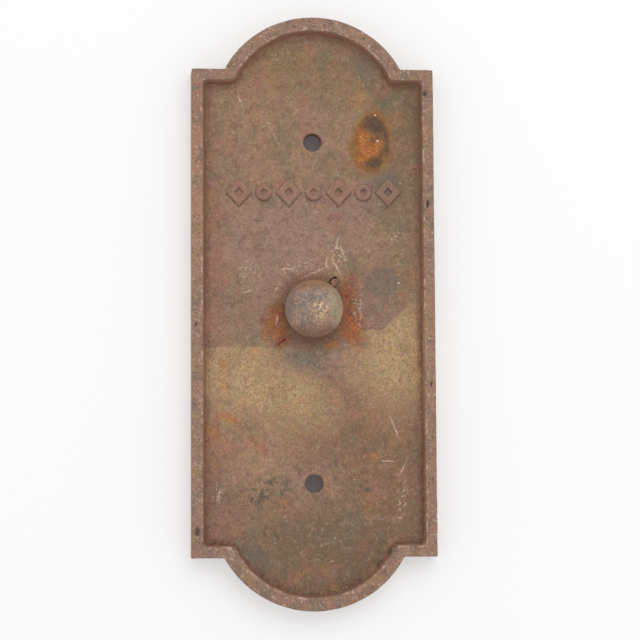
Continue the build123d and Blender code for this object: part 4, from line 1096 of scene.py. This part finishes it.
def braided_lead(name, node, slot, side):
    """A cloth-covered lead: leaves its lug down the slope, bends and hangs straight."""
    low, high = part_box(node)
    outside, bore, bend = 1.66, 0.78, 14.0
    depth = (low.y + high.y) / 2 / MM
    terminal_u, cover_start, bend_start = 13.0, 22.8, 26.3
    origin = np.array([0, depth, PUSH_Z])
    begin = origin + ACROSS * side * terminal_u + SLOPE * cover_start
    turn = origin + ACROSS * side * terminal_u + SLOPE * bend_start
    inward = np.array([-sin(pi / 2 - CLOCK), 0, -cos(pi / 2 - CLOCK)])
    path = [begin + (turn - begin) * t for t in np.linspace(0, 1, 8, endpoint=False)]
    centre = turn + inward * bend
    for a in np.linspace(0, CLOCK, 26):
        spin = np.array(Matrix.Rotation(a, 3, "Y"))
        path.append(centre + spin @ (turn - centre))
    end = np.array([path[-1][0], depth, low.z / MM + 0.02])
    count = int((path[-1][2] - end[2]) / 0.42)
    path += [path[-1] + (end - path[-1]) * k / count for k in range(1, count + 1)]
    lay, yarns = 5.2, 6

    def braid(gone, a):
        one = np.cos(yarns * (a + 2 * pi * gone / lay / 2))
        two = np.cos(yarns * (a - 2 * pi * gone / lay / 2))
        fray = 0.02 * np.sin(3 * a + gone * 1.7)
        return outside - 0.16 + 0.13 * np.maximum(one, two) + fray

    points, faces = tube(path, braid, 36, bore)
    faces = oriented(points, faces)
    spine = np.array(path)
    nearest = np.array([np.argmin(np.linalg.norm(spine - p, axis=1)) for p in points])
    radial = np.linalg.norm(points - spine[nearest], axis=1)
    gone = np.concatenate([[0], np.cumsum(np.linalg.norm(np.diff(spine, axis=0), axis=1))])[nearest]
    off = points - spine[nearest]
    around = np.arctan2(off[:, 1], off[:, 0])
    tracer = 0.5 + 0.5 * np.cos(around + 2 * pi * gone / 12.0)
    braid_height = (radial - outside + 0.26) / 0.26
    make_piece(name, points, faces, "station", node, FINISHES[slot],
               {"braid": np.clip(braid_height, 0, 1), "tracer": smooth(0.86, 0.96, tracer)})


braided_lead("cloth_lead_left", "lead_wire_left", "dark_cloth", -1)
braided_lead("cloth_lead_right", "lead_wire_right", "tan_cloth", 1)

# ---- the room

WALL_GLOW = 0.36  # share of the wall's own light, which keeps shadows on it faint
AXIS_CONE = (cos(radians(28)), cos(radians(24)))  # views this close to straight-on see the wall, others the floor


def backdrop_finish(name, shade, seen_straight_on):
    """Matt pale paint that only shows to the camera, either in straight-on views or in all the others."""
    f = Finish(name)
    toward = f.node("NewGeometry").outputs["Incoming"]
    ahead = f.span(f.vector("DOT_PRODUCT", toward, (0, -1, 0)), *AXIS_CONE)
    seen = ahead if seen_straight_on else f.math("SUBTRACT", 1.0, ahead)
    to_camera = f.node("LightPath").outputs["Is Camera Ray"]
    seen = f.both(seen, to_camera)
    mottle = f.noise(60, 3, 0.5, 1)
    color = f.mix(f.span(mottle, 0.3, 0.7), shade, tuple(min(1.0, v * 1.015) for v in shade[:3]) + (1,))
    if seen_straight_on:  # behind the two bolt holes it is grey, and indirect light meets it there too
        # painted shade: the wall is painted grey behind the two bolt holes to stand for the shadow seen through them
        hole_shade = f.blobs(None, *[(0, side * BOLT_Z, 6, 6, 0, 0.04) for side in (-1, 1)])
        seen = f.either(seen, f.both(hole_shade, f.math("SUBTRACT", 1.0, to_camera)))
        color = f.mix(hole_shade, color, tone(120, 112, 112))
    else:  # the floor fades out before its edges
        seen = f.both(seen, f.span(f.vector("LENGTH", f.place), 750, 300))
    paint = f.node("BsdfDiffuse", color)
    glow = f.node("Emission", color, 1.0)
    lit = f.node("MixShader", WALL_GLOW if seen_straight_on else 0.0, paint.outputs[0], glow.outputs[0])
    clear = f.node("BsdfTransparent")
    both = f.node("MixShader", seen, clear.outputs[0], lit.outputs[0])
    f.feed(f.out.inputs["Surface"], both.outputs[0])
    return f.material


def backdrop(name, corner, material):
    """A large square; corner puts a corner's two offsets from the middle into place."""
    mesh = bpy.data.meshes.new(name)
    corners = [corner(REACH * a, REACH * b) for a, b in ((-1, -1), (1, -1), (1, 1), (-1, 1))]
    mesh.from_pydata(corners, [], [(0, 1, 2, 3)])
    mesh.materials.append(material)
    made = bpy.data.objects.new(name, mesh)
    bpy.context.scene.collection.objects.link(made)


REACH = 1.4
WALL_Y = 0.0003
FLOOR_Z = cad_box[0].z - 0.0006
backdrop("studio_wall", lambda a, b: (a, WALL_Y, b), backdrop_finish("pale_wall", (1.0, 1.0, 1.0, 1), True))
backdrop("studio_floor", lambda a, b: (a, b, FLOOR_Z), backdrop_finish("pale_floor", (0.86, 0.86, 0.86, 1), False))


def soft_light(name, spot, aim, size, energy):
    lamp = bpy.data.lights.new(name, "AREA")
    lamp.shape = "DISK"
    lamp.size = size
    lamp.energy = energy
    made = bpy.data.objects.new(name, lamp)
    made.location = spot
    made.rotation_mode = "QUATERNION"
    made.rotation_quaternion = (Vector(aim) - Vector(spot)).to_track_quat("-Z", "Y")
    bpy.context.scene.collection.objects.link(made)


soft_light("light_above", (0.30, -1.6, 0.85), (0, 0, 0), 1.3, 7)
soft_light("light_behind", (-0.8, 1.3, 0.9), (0, 0, 0), 1.0, 12)

world = bpy.data.worlds.new("studio")
sky = Nodes(world)
glow = sky.node("Background", (1, 1, 1, 1), 0.80)
shown = sky.node("Background", (0.93, 0.93, 0.93, 1), 1.0)
seen = sky.node("LightPath").outputs["Is Camera Ray"]
chosen = sky.node("MixShader", seen, glow.outputs[0], shown.outputs[0])
sky.feed(sky.node("OutputWorld").inputs["Surface"], chosen.outputs[0])
bpy.context.scene.world = world
bpy.context.scene.view_settings.view_transform = "Standard"

# ---- the camera: a little left of and below the middle, looking slightly up

EYE = (-0.0556, -1.0, -0.0839)
camera = bpy.data.cameras.new("camera")
camera.sensor_width = 36.0
camera.lens = 108.06
camera.clip_start, camera.clip_end = 0.05, 20
eye = bpy.data.objects.new("camera", camera)
bpy.context.scene.collection.objects.link(eye)
bpy.context.scene.camera = eye
pitch, yaw, roll = 0.07997, 0.05948, -0.00579
forward = Vector((sin(yaw) * cos(pitch), cos(yaw) * cos(pitch), sin(pitch)))
level = Vector((cos(yaw), -sin(yaw), 0))
upright = level.cross(forward)
right = cos(roll) * level + sin(roll) * upright
up = -sin(roll) * level + cos(roll) * upright
eye.matrix_world = Matrix.Translation(EYE) @ Matrix((right, up, -forward)).transposed().to_4x4()
